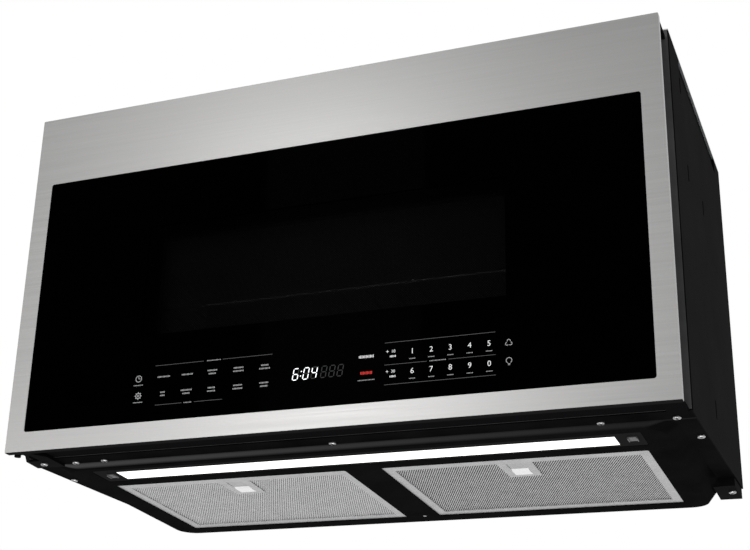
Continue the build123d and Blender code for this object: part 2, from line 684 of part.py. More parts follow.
def filter_mesh():
    """Pad of layered mesh inside the frame's channel."""
    outer_x, outer_y, mesh_x, mesh_y = filter_frame_pairs()
    pad = block(
        grow(mesh_x, 4),
        grow(mesh_y, 4),
        (FILTER_LOW_Z + 1.2, FILTER_LOW_Z + FILTER_THICKNESS - 1.2),
    )
    return pad


def filter_tab():
    """Bright pull tab: a strip bent up through the latch plate to make a finger hold."""
    x, front, rear = pull_place()
    low = FILTER_LOW_Z
    profile = [
        (front + 2.2, low + 1.2),
        (front + 2.2, low + 0.4),
        (front + 26, low + 0.4),
        (front + 28, low - 0.6),
        (rear - 9, low - 0.6),
        (rear - 9, low),
        (rear - 13, low),
        (front + 29, low + 0.2),
        (front + 27, low + 1.2),
    ]
    return prism_x(profile, grow((x, x), TAB_HALF_WIDTH))


# ---------------------------------------------------------------- oven cavity
PORT_Y = (CAVITY_Y[0] + 71.8, CAVITY_Y[0] + 159.8)
PORT_Z = (CAVITY_Z[1] - 116.0, CAVITY_Z[1] - 54.0)
COUPLER_HOLE_R = 7.0
RACK_LEDGE = 10.0
OUTLET_SLOTS = 10


def oven_cavity():
    """Steel box of the oven, open in front, with ports, vents, rack ledges and a turned floor."""
    shell = block(
        grow(CAVITY_X, CAVITY_WALL),
        (CAVITY_Y[0], CAVITY_BACK_Y),
        (CAVITY_UNDER_Z, CAVITY_TOP_Z),
    )
    space = block(CAVITY_X, (CAVITY_Y[0] - 1, CAVITY_Y[1]), CAVITY_Z)
    box = shell - space
    port = block((CAVITY_X[1] - 1, CAVITY_RIGHT_X + 1), PORT_Y, PORT_Z)
    shaft = rod_z(COUPLER_HOLE_R, CAVITY_MID_X, CAVITY_MID_Y, grow((CAVITY_UNDER_Z, CAVITY_FLOOR_Z), 1))
    inlet = rod_y(
        CONVECTION_FAN_R - 6,
        CAVITY_MID_X,
        grow((CAVITY_Y[1], CAVITY_BACK_Y), 1),
        CAVITY_MID_Z,
    )
    outlets = []
    for number in range(OUTLET_SLOTS):
        slot = block(
            (HEATER_RING_R - 8, HEATER_RING_R + 14),
            grow((CAVITY_Y[1], CAVITY_BACK_Y), 1),
            (-3, 3),
        )
        turned = Rot(0, 360 / OUTLET_SLOTS * number, 0) * slot
        outlets.append(Pos(CAVITY_MID_X, 0, CAVITY_MID_Z) * turned)
    vents = [
        block(
            (CAVITY_X[0] - CAVITY_WALL - 1, CAVITY_X[0] + 1),
            grow((y, y), 2),
            (CAVITY_Z[1] - 60, CAVITY_Z[1] - 30),
        )
        for y in spread(CAVITY_Y[0] + 60, CAVITY_Y[0] + 130, 6)
    ]
    lamp = rod_z(LAMP_HOLE_R, *OVEN_LAMP_PLACE, grow((CAVITY_Z[1], CAVITY_TOP_Z), 1))
    ledges = []
    for y in (CAVITY_Y[0] + 50, CAVITY_Y[1] - 50):
        for x in ((CAVITY_X[0], CAVITY_X[0] + RACK_LEDGE), (CAVITY_X[1] - RACK_LEDGE, CAVITY_X[1])):
            ledges.append(
                block(x, grow((y, y), 9), (RACK_Z - RACK_WIRE_R - 5, RACK_Z - RACK_WIRE_R - TOUCH))
            )
    return box - port - shaft - inlet - outlets - vents - lamp + ledges + waveguide()


def waveguide_cover():
    """Mica sheet over the microwave port."""
    return block((CAVITY_X[1] - 0.6, CAVITY_X[1]), grow(PORT_Y, 10), grow(PORT_Z, 10))


LAMP_HOLE_R = 9.0
OVEN_LAMP_PLACE = (CAVITY_X[1] - 92.0, CAVITY_Y[0] + 65.8)


def oven_lamp():
    """Lamp and holder on the cavity's roof."""
    holder = block(
        grow((OVEN_LAMP_PLACE[0],) * 2, 16),
        grow((OVEN_LAMP_PLACE[1],) * 2, 13),
        (CAVITY_TOP_Z, CAVITY_TOP_Z + 16),
    )
    lens = rod_z(LAMP_HOLE_R - 0.3, *OVEN_LAMP_PLACE, (CAVITY_Z[1], CAVITY_TOP_Z))
    return holder + lens


# ---------------------------------------------------------------- turntable
ROLLER_MID_Z = CAVITY_FLOOR_Z + ROLLER_RADIUS
TRAY_LOW_Z = CAVITY_FLOOR_Z + 2 * ROLLER_RADIUS + TOUCH
RING_HALF = 3.0
RING_R = ROLLER_TRACK_R - ROLLER_WIDTH / 2 - 4
HUB_R = 13.0
LOBE_R = 25.0
LOBE_HALF = 5.0


def turned_copies(shape, count, start=0.0):
    """Copies of a shape turned about the turntable's axis."""
    return [
        Pos(CAVITY_MID_X, CAVITY_MID_Y, 0) * Rot(0, 0, start + 360 / count * number) * shape
        for number in range(count)
    ]


def turntable_motor():
    """Flat geared motor under the cavity's floor."""
    can = rod_z(25, CAVITY_MID_X, CAVITY_MID_Y, (CAVITY_UNDER_Z - 18, CAVITY_UNDER_Z))
    ears = block(
        grow((CAVITY_MID_X,) * 2, 33),
        grow((CAVITY_MID_Y,) * 2, 6),
        (CAVITY_UNDER_Z - 2, CAVITY_UNDER_Z),
    )
    bore = rod_z(
        COUPLER_SHAFT_R + RUNNING_PLAY,
        CAVITY_MID_X,
        CAVITY_MID_Y,
        (CAVITY_UNDER_Z - 14, CAVITY_UNDER_Z + 1),
    )
    terminals = block(
        grow((CAVITY_MID_X,) * 2, 8),
        (CAVITY_MID_Y + 22, CAVITY_MID_Y + 33),
        (CAVITY_UNDER_Z - 14, CAVITY_UNDER_Z - 4),
    )
    return can + ears + terminals - bore


def turntable_coupler():
    """Three-lobed drive hub on its shaft."""
    shaft = rod_z(
        COUPLER_SHAFT_R,
        CAVITY_MID_X,
        CAVITY_MID_Y,
        (CAVITY_UNDER_Z - 13, CAVITY_FLOOR_Z + 2),
    )
    hub = rod_z(HUB_R, CAVITY_MID_X, CAVITY_MID_Y, (CAVITY_FLOOR_Z + 1, TRAY_LOW_Z - TOUCH))
    lobe = block((HUB_R - 2, LOBE_R), (-LOBE_HALF, LOBE_HALF), (TRAY_LOW_Z - 9, TRAY_LOW_Z - TOUCH))
    return shaft + hub + turned_copies(lobe, 3)


def roller_ring():
    """Ring that carries the rollers on three stub axles with end heads."""
    ring = rod_z(RING_R, CAVITY_MID_X, CAVITY_MID_Y, grow((ROLLER_MID_Z,) * 2, RING_HALF))
    ring = ring - rod_z(
        RING_R - 8,
        CAVITY_MID_X,
        CAVITY_MID_Y,
        grow((ROLLER_MID_Z,) * 2, RING_HALF + 1),
    )
    axle_end = ROLLER_TRACK_R + ROLLER_WIDTH / 2 + 0.6
    axle = rod_x(ROLLER_AXLE_R, (RING_R - 3, axle_end), 0, ROLLER_MID_Z)
    collar = rod_x(4.0, (RING_R - 2, ROLLER_TRACK_R - ROLLER_WIDTH / 2 - 0.4), 0, ROLLER_MID_Z)
    head = rod_x(3.4, (axle_end - 0.1, axle_end + 2), 0, ROLLER_MID_Z)
    return ring + turned_copies(axle + collar + head, ROLLERS)


def roller(number):
    """One roller on its stub axle."""
    x = grow((ROLLER_TRACK_R,) * 2, ROLLER_WIDTH / 2)
    wheel = rod_x(ROLLER_RADIUS - TOUCH, x, 0, ROLLER_MID_Z) - rod_x(
        ROLLER_AXLE_R + RUNNING_PLAY,
        grow(x, 1),
        0,
        ROLLER_MID_Z,
    )
    rims = wheel.edges().filter_by(GeomType.CIRCLE).sort_by(lambda edge: edge.radius)[-2:]
    wheel = fillet(rims, 1.0)
    return turned_copies(wheel, ROLLERS)[number]


def glass_tray():
    """Turned glass plate with a raised rim and three driving blocks under its middle."""
    low = TRAY_LOW_Z
    high = low + TRAY_THICKNESS
    flat_r = ROLLER_TRACK_R + ROLLER_WIDTH + 6
    profile = [
        (0, low),
        (flat_r, low),
        (TRAY_RADIUS - 4, low + TRAY_RIM_HEIGHT - 4),
        (TRAY_RADIUS, low + TRAY_RIM_HEIGHT),
        (TRAY_RADIUS - 3, low + TRAY_RIM_HEIGHT + 2),
        (TRAY_RADIUS - 10, low + TRAY_RIM_HEIGHT - 1),
        (flat_r - 2, high),
        (0, high),
    ]
    dish = revolve(Plane.XZ * Polygon(*profile, align=None), Axis.Z)
    dish = Pos(CAVITY_MID_X, CAVITY_MID_Y, 0) * dish
    blocks = block((HUB_R + 3, LOBE_R), (-LOBE_HALF, LOBE_HALF), (low - 6, low))
    return dish + turned_copies(blocks, 3, start=40.0)


RACK_X = (CAVITY_X[0] + 3.5, CAVITY_X[1] - 3.5)
RACK_Y = (CAVITY_Y[0] + 22.0, CAVITY_Y[1] - 24.0)
RACK_CORNER_R = 16.0


def wire_rack():
    """Chromed wire rack: a bent frame wire, bars across it and a stiffening wire below."""
    rails = [rod_y(RACK_WIRE_R, x, grow(RACK_Y, -RACK_CORNER_R), RACK_Z) for x in RACK_X]
    rails += [rod_x(RACK_WIRE_R, grow(RACK_X, -RACK_CORNER_R), y, RACK_Z) for y in RACK_Y]
    for x, turn_x in ((RACK_X[0] + RACK_CORNER_R, 180), (RACK_X[1] - RACK_CORNER_R, 0)):
        for y, turn_y in ((RACK_Y[0] + RACK_CORNER_R, -1), (RACK_Y[1] - RACK_CORNER_R, 1)):
            start = {(180, -1): 180, (180, 1): 90, (0, -1): 270, (0, 1): 0}[(turn_x, turn_y)]
            section = Plane.XZ * (Pos(RACK_CORNER_R, 0) * Circle(RACK_WIRE_R))
            elbow = revolve(section, Axis.Z, revolution_arc=90)
            rails.append(Pos(x, y, RACK_Z) * Rot(0, 0, start) * elbow)
    frame = rails[0] + rails[1:]
    bar_z = RACK_Z + 2.0
    bars = [
        rod_y(RACK_BAR_R, x, RACK_Y, bar_z)
        for x in spread(RACK_X[0] + 30, RACK_X[1] - 30, RACK_BARS)
    ]
    brace = rod_x(RACK_WIRE_R - 0.6, RACK_X, sum(RACK_Y) / 2, RACK_Z - 1.2)
    return frame + bars + brace


# ---------------------------------------------------------------- convection unit
COVER_DISH = 7.0


def convection_cover():
    """Pressed steel cover inside the oven, with a slotted face and a sloping rim."""
    y = CAVITY_Y[1]
    outer_r = CONVECTION_CAN_R - 2
    base = Plane(origin=(CAVITY_MID_X, y, CAVITY_MID_Z), x_dir=(1, 0, 0), z_dir=(0, -1, 0))
    face = Plane(origin=(CAVITY_MID_X, y - COVER_DISH, CAVITY_MID_Z), x_dir=(1, 0, 0), z_dir=(0, -1, 0))
    inner_base = Plane(origin=(CAVITY_MID_X, y + 1, CAVITY_MID_Z), x_dir=(1, 0, 0), z_dir=(0, -1, 0))
    inner_face = Plane(
        origin=(CAVITY_MID_X, y - COVER_DISH + 1, CAVITY_MID_Z),
        x_dir=(1, 0, 0),
        z_dir=(0, -1, 0),
    )
    outer = loft([base * Circle(outer_r), face * Circle(outer_r - 9)], ruled=True)
    inner = loft([inner_base * Circle(outer_r - 1.2), inner_face * Circle(outer_r - 10)], ruled=True)
    slots = []
    slotted_r = outer_r - 26
    for x in spread(14 - slotted_r, slotted_r - 14, 12):
        reach = math.sqrt(slotted_r ** 2 - x ** 2)
        slots.append(
            block(
                grow((CAVITY_MID_X + x,) * 2, 2),
                (y - COVER_DISH - 1, y - COVER_DISH + 2),
                grow((CAVITY_MID_Z,) * 2, reach),
            )
        )
    return outer - inner - slots


def convection_housing():
    """Shallow can behind the rear wall, with a flange and the motor hole."""
    y = (CAVITY_BACK_Y, CAVITY_BACK_Y + CONVECTION_CAN_DEPTH)
    can = rod_y(CONVECTION_CAN_R, CAVITY_MID_X, y, CAVITY_MID_Z)
    hollow = rod_y(CONVECTION_CAN_R - 1, CAVITY_MID_X, (y[0] - 1, y[1] - 1), CAVITY_MID_Z)
    flange = rod_y(CONVECTION_CAN_R + 7, CAVITY_MID_X, (y[0], y[0] + 1), CAVITY_MID_Z)
    hole = rod_y(CONVECTION_SHAFT_R + 3, CAVITY_MID_X, (y[1] - 2, y[1] + 1), CAVITY_MID_Z)
    return can + flange - hollow - hole


def convection_heater():
    """Round sheathed element with two legs to the can's back."""
    y = CAVITY_BACK_Y + CONVECTION_CAN_DEPTH / 2
    plane = Plane(origin=(CAVITY_MID_X, y, CAVITY_MID_Z), x_dir=(1, 0, 0), z_dir=(0, -1, 0))
    ring = plane * Torus(HEATER_RING_R, HEATER_TUBE_R)
    back = CAVITY_BACK_Y + CONVECTION_CAN_DEPTH - 1
    legs = [
        rod_y(HEATER_TUBE_R - 0.3, CAVITY_MID_X + x, (y, back), CAVITY_MID_Z - HEATER_RING_R + 1.5)
        for x in (-14, 14)
    ]
    return ring + legs


def convection_fan():
    """Radial fan: back disc, six bent blades, hub and shaft."""
    y = CAVITY_BACK_Y + 3.0
    back = CAVITY_BACK_Y + CONVECTION_CAN_DEPTH - 4.0
    disc = rod_y(CONVECTION_FAN_R - 8, CAVITY_MID_X, (back - 1.2, back), CAVITY_MID_Z)
    hub = rod_y(8, CAVITY_MID_X, (y + 3, back), CAVITY_MID_Z)
    shaft = rod_y(CONVECTION_SHAFT_R, CAVITY_MID_X, (back - 2, back + 4.0 + 14), CAVITY_MID_Z)
    fan = disc + hub + shaft
    for number in range(6):
        blade = Pos(4, 0, 0) * block((6, CONVECTION_FAN_R - 6), (y, back - 0.6), (-0.7, 0.7))
        fan = fan + Pos(CAVITY_MID_X, 0, CAVITY_MID_Z) * Rot(0, 60 * number, 0) * blade
    return fan


def convection_motor():
    """Motor on the can's back: a laminated block with a round bearing boss."""
    y = (CAVITY_BACK_Y + CONVECTION_CAN_DEPTH, CAVITY_BACK_Y + CONVECTION_CAN_DEPTH + 19.0)
    core = block(grow((CAVITY_MID_X,) * 2, 30), (y[0] + 3, y[1]), grow((CAVITY_MID_Z,) * 2, 26))
    boss = rod_y(16, CAVITY_MID_X, (y[0], y[0] + 4), CAVITY_MID_Z)
    coil = rod_x(11, (CAVITY_MID_X - 20, CAVITY_MID_X + 20), (y[0] + y[1]) / 2 + 2, CAVITY_MID_Z - 26)
    coil = coil & block(grow((CAVITY_MID_X,) * 2, 30), (y[0] + 3, y[1]), grow((CAVITY_MID_Z,) * 2, 40))
    bore = rod_y(CONVECTION_SHAFT_R + RUNNING_PLAY, CAVITY_MID_X, (y[0] - 1, y[1] - 2), CAVITY_MID_Z)
    return core + boss + coil - bore


# ---------------------------------------------------------------- microwave source
GUIDE_X = (CAVITY_RIGHT_X, CAVITY_RIGHT_X + 28.0)
MAGNETRON_X = (GUIDE_X[1], GUIDE_X[1] + 78.0)


def waveguide():
    """Rectangular launch duct on the cavity's right wall."""
    duct = block(GUIDE_X, grow(PORT_Y, 4), grow(PORT_Z, 4))
    hollow = block((GUIDE_X[0] - 1, GUIDE_X[1] - 1.2), PORT_Y, PORT_Z)
    flange = block((GUIDE_X[0], GUIDE_X[0] + 1.2), grow(PORT_Y, 12), grow(PORT_Z, 12))
    antenna = rod_x(10, (GUIDE_X[1] - 2, GUIDE_X[1] + 1), sum(PORT_Y) / 2, sum(PORT_Z) / 2)
    return duct + flange - hollow - antenna


def magnetron():
    """Magnetron: yoke, cooling fins on the anode, antenna into the waveguide and filter box."""
    y_mid = sum(PORT_Y) / 2
    z_mid = sum(PORT_Z) / 2
    yoke = block(MAGNETRON_X, grow((y_mid,) * 2, 42), grow((z_mid,) * 2, 34))
    window = block(grow(MAGNETRON_X, -2), grow((y_mid,) * 2, 43), grow((z_mid,) * 2, 32))
    anode = rod_x(20, grow(MAGNETRON_X, -1), y_mid, z_mid)
    fins = [
        block((x, x + 1), grow((y_mid,) * 2, 40), grow((z_mid,) * 2, 32))
        for x in spread(MAGNETRON_X[0] + 16, MAGNETRON_X[0] + 52, 7)
    ]
    antenna = rod_x(9.5, (GUIDE_X[1] - 14, MAGNETRON_X[0] + 3), y_mid, z_mid)
    box = block((MAGNETRON_X[1], MAGNETRON_X[1] + 16), grow((y_mid,) * 2, 24), grow((z_mid,) * 2, 24))
    return yoke - window + anode + fins + antenna + box


INVERTER_X = (HALF - 123.5, HALF - 13.5)
INVERTER_Y = (BACK_Y - 185.0, BACK_Y - 55.0)


def inverter_board():
    """High voltage supply: board on its tray, transformer, capacitor and finned heat sink."""
    z = BASE_PLATE_TOP_Z
    tray = block(INVERTER_X, INVERTER_Y, (z, z + 4))
    board = block(grow(INVERTER_X, -2), grow(INVERTER_Y, -2), (z + 4, z + 8))
    core = block(
        (INVERTER_X[0] + 12, INVERTER_X[0] + 66),
        (INVERTER_Y[0] + 14, INVERTER_Y[0] + 60),
        (z + 8, z + 44),
    )
    coil = rod_y(22, INVERTER_X[0] + 39, (INVERTER_Y[0] + 10, INVERTER_Y[0] + 64), z + 28)
    capacitor = block(
        (INVERTER_X[0] + 12, INVERTER_X[0] + 52),
        (INVERTER_Y[0] + 78, INVERTER_Y[0] + 96),
        (z + 8, z + 40),
    )
    sink = block(
        (INVERTER_X[1] - 34, INVERTER_X[1] - 8),
        (INVERTER_Y[0] + 12, INVERTER_Y[0] + 100),
        (z + 8, z + 14),
    )
    fins = [
        block((x, x + 2), (INVERTER_Y[0] + 12, INVERTER_Y[0] + 100), (z + 14, z + 42))
        for x in spread(INVERTER_X[1] - 34, INVERTER_X[1] - 10, 5)
    ]
    return tray + board + core + coil + capacitor + sink + fins


FAN_SIDE = 46.0
FAN_Z = 226.0
FAN_X = HALF - 63.5
FAN_Y = (PANEL_BACK_Y - 0.6 - 40.0, PANEL_BACK_Y - 0.6)
FAN_R = 40.0
FAN_SHAFT_R = 2.5


def magnetron_fan_housing():
    """Square ring of the cooling fan with its motor on four arms, standing on the base plate."""
    frame = block(grow((FAN_X,) * 2, FAN_SIDE), FAN_Y, grow((FAN_Z,) * 2, FAN_SIDE))
    tunnel = rod_y(FAN_R + 2, FAN_X, grow(FAN_Y, 1), FAN_Z)
    motor_y = (FAN_Y[1] - 20, FAN_Y[1] - 2)
    motor = rod_y(17, FAN_X, motor_y, FAN_Z)
    arms = block(grow((FAN_X,) * 2, FAN_R + 3), (motor_y[1] - 4, motor_y[1]), grow((FAN_Z,) * 2, 3))
    arms = arms + block(
        grow((FAN_X,) * 2, 3),
        (motor_y[1] - 4, motor_y[1]),
        grow((FAN_Z,) * 2, FAN_R + 3),
    )
    bore = rod_y(FAN_SHAFT_R + RUNNING_PLAY, FAN_X, (motor_y[0] - 1, motor_y[1] - 3), FAN_Z)
    legs = block(
        grow((FAN_X,) * 2, FAN_SIDE - 6),
        (FAN_Y[1] - 6, FAN_Y[1]),
        (BASE_PLATE_TOP_Z, FAN_Z - FAN_SIDE + 1),
    )
    window = block(
        grow((FAN_X,) * 2, FAN_SIDE - 12),
        grow((FAN_Y[1] - 6, FAN_Y[1]), 1),
        (BASE_PLATE_TOP_Z + 6, FAN_Z - FAN_SIDE - 6),
    )
    sill = block((FAN_X + FAN_SIDE - 6, INNER_HALF), (FAN_Y[0], FAN_Y[0] + 10), grow((FAN_Z,) * 2, 12))
    return frame - tunnel + motor + arms - bore + legs - window + sill


def magnetron_fan():
    """Axial fan of the cooling duct: hub, five twisted blades and shaft."""
    y = (FAN_Y[0] + 3, FAN_Y[1] - 24)
    hub = rod_y(13, FAN_X, y, FAN_Z)
    shaft = rod_y(FAN_SHAFT_R, FAN_X, (y[1] - 1, FAN_Y[1] - 7), FAN_Z)
    fan = hub + shaft
    for number in range(5):
        blade = block((10, FAN_R - 1), (-0.7, 0.7), (-11, 11))
        pitched = Pos(0, sum(y) / 2, 0) * Rot(55, 0, 0) * blade
        fan = fan + Pos(FAN_X, 0, FAN_Z) * Rot(0, 72 * number, 0) * pitched
    return fan


def relay_board():
    """Relay and power board on four posts from the right side panel."""
    x = (INNER_HALF - 10.6, INNER_HALF - 9.0)
    y = (FRAME_BACK_Y + 39.8, INVERTER_Y[0] - 16.0)
    z = (66.0, 168.0)
    board = block(x, y, z)
    posts = [
        rod_x(3, (x[1], INNER_HALF), py, pz)
        for py in grow(y, -7)
        for pz in grow(z, -7)
    ]
    relays = [
        block((x[0] - 16, x[0]), (py, py + 20), (z[1] - 26, z[1] - 6))
        for py in spread(y[0] + 8, y[1] - 30, 4)
    ]
    choke = rod_x(12, (x[0] - 20, x[0]), y[0] + 26, z[0] + 26)
    supply = block((x[0] - 24, x[0]), (y[1] - 52, y[1] - 14), (z[0] + 12, z[0] + 40))
    return board + posts + relays + choke + supply


# ---------------------------------------------------------------- vent blower and exhaust
def scroll_face(offset):
    """Spiral side of the blower housing, its outlet reaching up to the top cover."""
    first = math.radians(SCROLL_TONGUE_DEG)
    last = -math.pi
    points = []
    for number in range(13):
        share = number / 12
        angle = first + (last - first) * share
        radius = SCROLL_START_R + (SCROLL_END_R - SCROLL_START_R) * share + offset
        points.append((BLOWER_Y + radius * math.cos(angle), BLOWER_Z + radius * math.sin(angle)))
    top = COVER_Z + (2.0 if offset <= 0 else 0.0)
    spiral = Spline(*points)
    corner = (points[-1][0], top)
    far = (points[0][0], top)
    lines = Polyline(points[-1], corner, far, points[0])
    return Plane.YZ * make_face(spiral + lines)


def vent_blower_housing():
    """Two scrolls side by side, joined by a motor shelf."""
    x = (BLOWER_INNER_X, BLOWER_INNER_X + SCROLL_WIDTH)
    outer = Pos(x[0], 0, 0) * extrude(scroll_face(SCROLL_WALL), SCROLL_WIDTH)
    inner = Pos(x[0] + SCROLL_WALL, 0, 0) * extrude(scroll_face(0.0), SCROLL_WIDTH - 2 * SCROLL_WALL)
    mouth = rod_x(BLOWER_WHEEL_R - 8, grow(x, 1), BLOWER_Y, BLOWER_Z)
    scroll = outer - inner - mouth
    shelf_z = BLOWER_Z - SCROLL_START_R - 4
    shelf = block((-x[0] - 2, x[0] + 2), grow((BLOWER_Y,) * 2, 30), (shelf_z, shelf_z + 2))
    return scroll + mirror_x(scroll) + shelf - mirror_x(inner) - inner


def vent_blower_motor():
    """Double ended motor on its saddle between the scrolls."""
    half = BLOWER_INNER_X - 6
    can = rod_x(33, (-half + 6, half - 6), BLOWER_Y, BLOWER_Z)
    caps = rod_x(22, (-half, half), BLOWER_Y, BLOWER_Z)
    shelf_z = BLOWER_Z - SCROLL_START_R - 2
    saddle = block(grow((0, 0), 20), grow((BLOWER_Y,) * 2, 24), (shelf_z, BLOWER_Z - 20))
    bore = rod_x(BLOWER_SHAFT_R + RUNNING_PLAY, (-half - 1, half + 1), BLOWER_Y, BLOWER_Z)
    return can + caps + saddle - bore


def blower_shaft():
    """Shaft through the motor and both wheels."""
    reach = BLOWER_INNER_X + SCROLL_WIDTH - SCROLL_WALL - 2
    return rod_x(BLOWER_SHAFT_R, (-reach, reach), BLOWER_Y, BLOWER_Z)


def blower_blade(x):
    """One forward curved blade, about the shaft's axis."""
    outer = BLOWER_WHEEL_R - 0.5
    inner = BLOWER_WHEEL_R - 9.0
    points = [
        (inner, -0.5),
        (inner + 4.5, 0.3),
        (outer, 3.4),
        (outer - 0.4, 4.4),
        (inner + 4.0, 1.3),
        (inner, 0.5),
    ]
    return prism_x(points, x)


def blower_wheels():
    """Two squirrel cage wheels: end rings, centre disc with a hub and curved blades."""
    start = BLOWER_INNER_X + (SCROLL_WIDTH - BLOWER_WHEEL_WIDTH) / 2
    x = (start, start + BLOWER_WHEEL_WIDTH)
    rings = []
    for pair in ((x[0], x[0] + 2), (x[1] - 2, x[1])):
        ring = rod_x(BLOWER_WHEEL_R, pair, 0, 0) - rod_x(BLOWER_WHEEL_R - 9.5, grow(pair, 1), 0, 0)
        rings.append(ring)
    middle = sum(x) / 2
    disc = rod_x(BLOWER_WHEEL_R - 4, (middle - 1, middle + 1), 0, 0)
    hub = rod_x(10, (middle - 9, middle + 9), 0, 0)
    wheel = disc + hub + rings
    blades = [
        Rot(360 / BLOWER_BLADES * number, 0, 0) * blower_blade(x) for number in range(BLOWER_BLADES)
    ]
    wheel = wheel + blades - rod_x(BLOWER_SHAFT_R, grow(x, 1), 0, 0)
    wheel = Pos(0, BLOWER_Y, BLOWER_Z) * wheel
    return Compound(children=[wheel, mirror_x(wheel)])


def duct_inner_half():
    """Half the exhaust duct's inner width."""
    return DUCT_WIDTH / 2 - DUCT_WALL


def duct_inner_y():
    """Exhaust duct's inner depth as a Y pair."""
    return grow((EXHAUST_Y,) * 2, DUCT_DEPTH / 2 - DUCT_WALL)


DAMPER_Z = BODY_HEIGHT + 11.0
DAMPER_Y = duct_inner_y()[1] - 7.0
DAMPER_SHEET = 1.0


def exhaust_adapter():
    """Collar for a 3 1/4 by 10 inch duct, with a foot flange and the damper's stop ledge."""
    z = (BODY_HEIGHT, BODY_HEIGHT + DUCT_HEIGHT)
    outer_x = (-DUCT_WIDTH / 2, DUCT_WIDTH / 2)
    outer_y = grow(duct_inner_y(), DUCT_WALL)
    collar = block(outer_x, outer_y, z)
    flange = block(grow(outer_x, DUCT_FLANGE), grow(outer_y, DUCT_FLANGE), (z[0], z[0] + DUCT_WALL))
    hollow = block(grow((0, 0), duct_inner_half()), duct_inner_y(), grow(z, 1))
    stop = block(grow((0, 0), duct_inner_half()), (duct_inner_y()[0], duct_inner_y()[0] + 3),
                 (DAMPER_Z - DAMPER_SHEET / 2 - TOUCH - 1.2, DAMPER_Z - DAMPER_SHEET / 2 - TOUCH))
    holes = rod_x(DAMPER_PIN_R + RUNNING_PLAY, grow(outer_x, 1), DAMPER_Y, DAMPER_Z)
    return collar + flange - hollow + stop - holes


def damper_flap():
    """Balanced flap across the duct on two end pins."""
    half = duct_inner_half() - 0.8
    front = duct_inner_y()[0] + 0.8
    rear = DAMPER_Y + 5.0
    plate = block((-half, half), (front, rear), grow((DAMPER_Z,) * 2, DAMPER_SHEET / 2))
    barrel = rod_x(DAMPER_PIN_R + 1.2, (-half, half), DAMPER_Y, DAMPER_Z)
    pins = rod_x(DAMPER_PIN_R, grow((0, 0), DUCT_WIDTH / 2), DAMPER_Y, DAMPER_Z)
    return plate + barrel + pins


def charcoal_filter():
    """Carbon cassette under the top louvres."""
    x = (-LOUVRE_SPAN / 2 - 20, LOUVRE_SPAN / 2 + 20)
    y = (LOUVRE_ROWS[0] - 8, LOUVRE_ROWS[-1] + 8)
    z = (COVER_Z - 16, COVER_Z)
    frame = block(x, y, z)
    bed = block(grow(x, -3), grow(y, -3), (z[1] - 4, z[1] + 1))
    return frame - bed


def cord_bush():
    """Plastic bush in the cord's hole."""
    body = rod_z(CORD_HOLE_R, *CORD_HOLE_PLACE, (COVER_Z - 4, BODY_HEIGHT))
    rim = rod_z(CORD_HOLE_R + 3, *CORD_HOLE_PLACE, (BODY_HEIGHT, BODY_HEIGHT + 3))
    return body + rim - rod_z(CORD_HOLE_R - 4, *CORD_HOLE_PLACE, (COVER_Z - 5, BODY_HEIGHT + 4))


# ---------------------------------------------------------------- door
LATCH_X = (DOOR_BODY_X[1] - 18.0, DOOR_BODY_X[1] - 10.0)
LATCH_PLAY = 2.0
LATCH_HOOK_Z = (DOOR_LOW_Z + 132.5, DOOR_TOP_Z - 114.5)
LATCH_TRAVEL = 5.0
LATCH_BAR_Y = (DOOR_BACK_Y - 18.0, DOOR_BACK_Y - 8.0)
HOOK_REACH = 18.0
HOOK_HALF = 6.0
SPRING_R = 3.5


def latch_slot_z(z):
    """Height pair of a latch slot round a hook at z."""
    return (z - HOOK_HALF - LATCH_PLAY, z + HOOK_HALF + LATCH_TRAVEL + LATCH_PLAY)


def door_frame():
    """Brushed steel skin: front sheet with four returns and a hemmed glass opening."""
    x = (-DOOR_HALF, DOOR_HALF)
    z = (DOOR_LOW_Z, DOOR_TOP_Z)
    y = (FRONT_Y, FRONT_Y + SKIN_RETURN)
    shell = rounded_plate_y(x, y, z, SKIN_CORNER_R)
    hollow = rounded_plate_y(
        grow(x, -DOOR_SKIN),
        (SKIN_BACK_Y, y[1] + 1),
        grow(z, -DOOR_SKIN),
        SKIN_CORNER_R - DOOR_SKIN,
    )
    opening = rounded_plate_y(GLASS_X, grow(y, 1), GLASS_Z, GLASS_CORNER_R)
    return shell - hollow - opening


def door_glass():
    """Black glass panel set into the skin's opening."""
    return rounded_plate_y(
        grow(GLASS_X, -GLASS_PLAY),
        (GLASS_FRONT_Y, GLASS_BACK_Y),
        grow(GLASS_Z, -GLASS_PLAY),
        GLASS_CORNER_R - GLASS_PLAY,
    )


CHOKE_MARGIN = 26.0
CHOKE_Y = (DOOR_BACK_Y - 16.0, DOOR_BACK_Y)
WINDOW_RIM = 3.0


def choke_x():
    """Outer width of the choke panel."""
    return grow(CAVITY_X, CHOKE_MARGIN)


def choke_z():
    """Outer height of the choke panel."""
    return grow(CAVITY_Z, CHOKE_MARGIN)


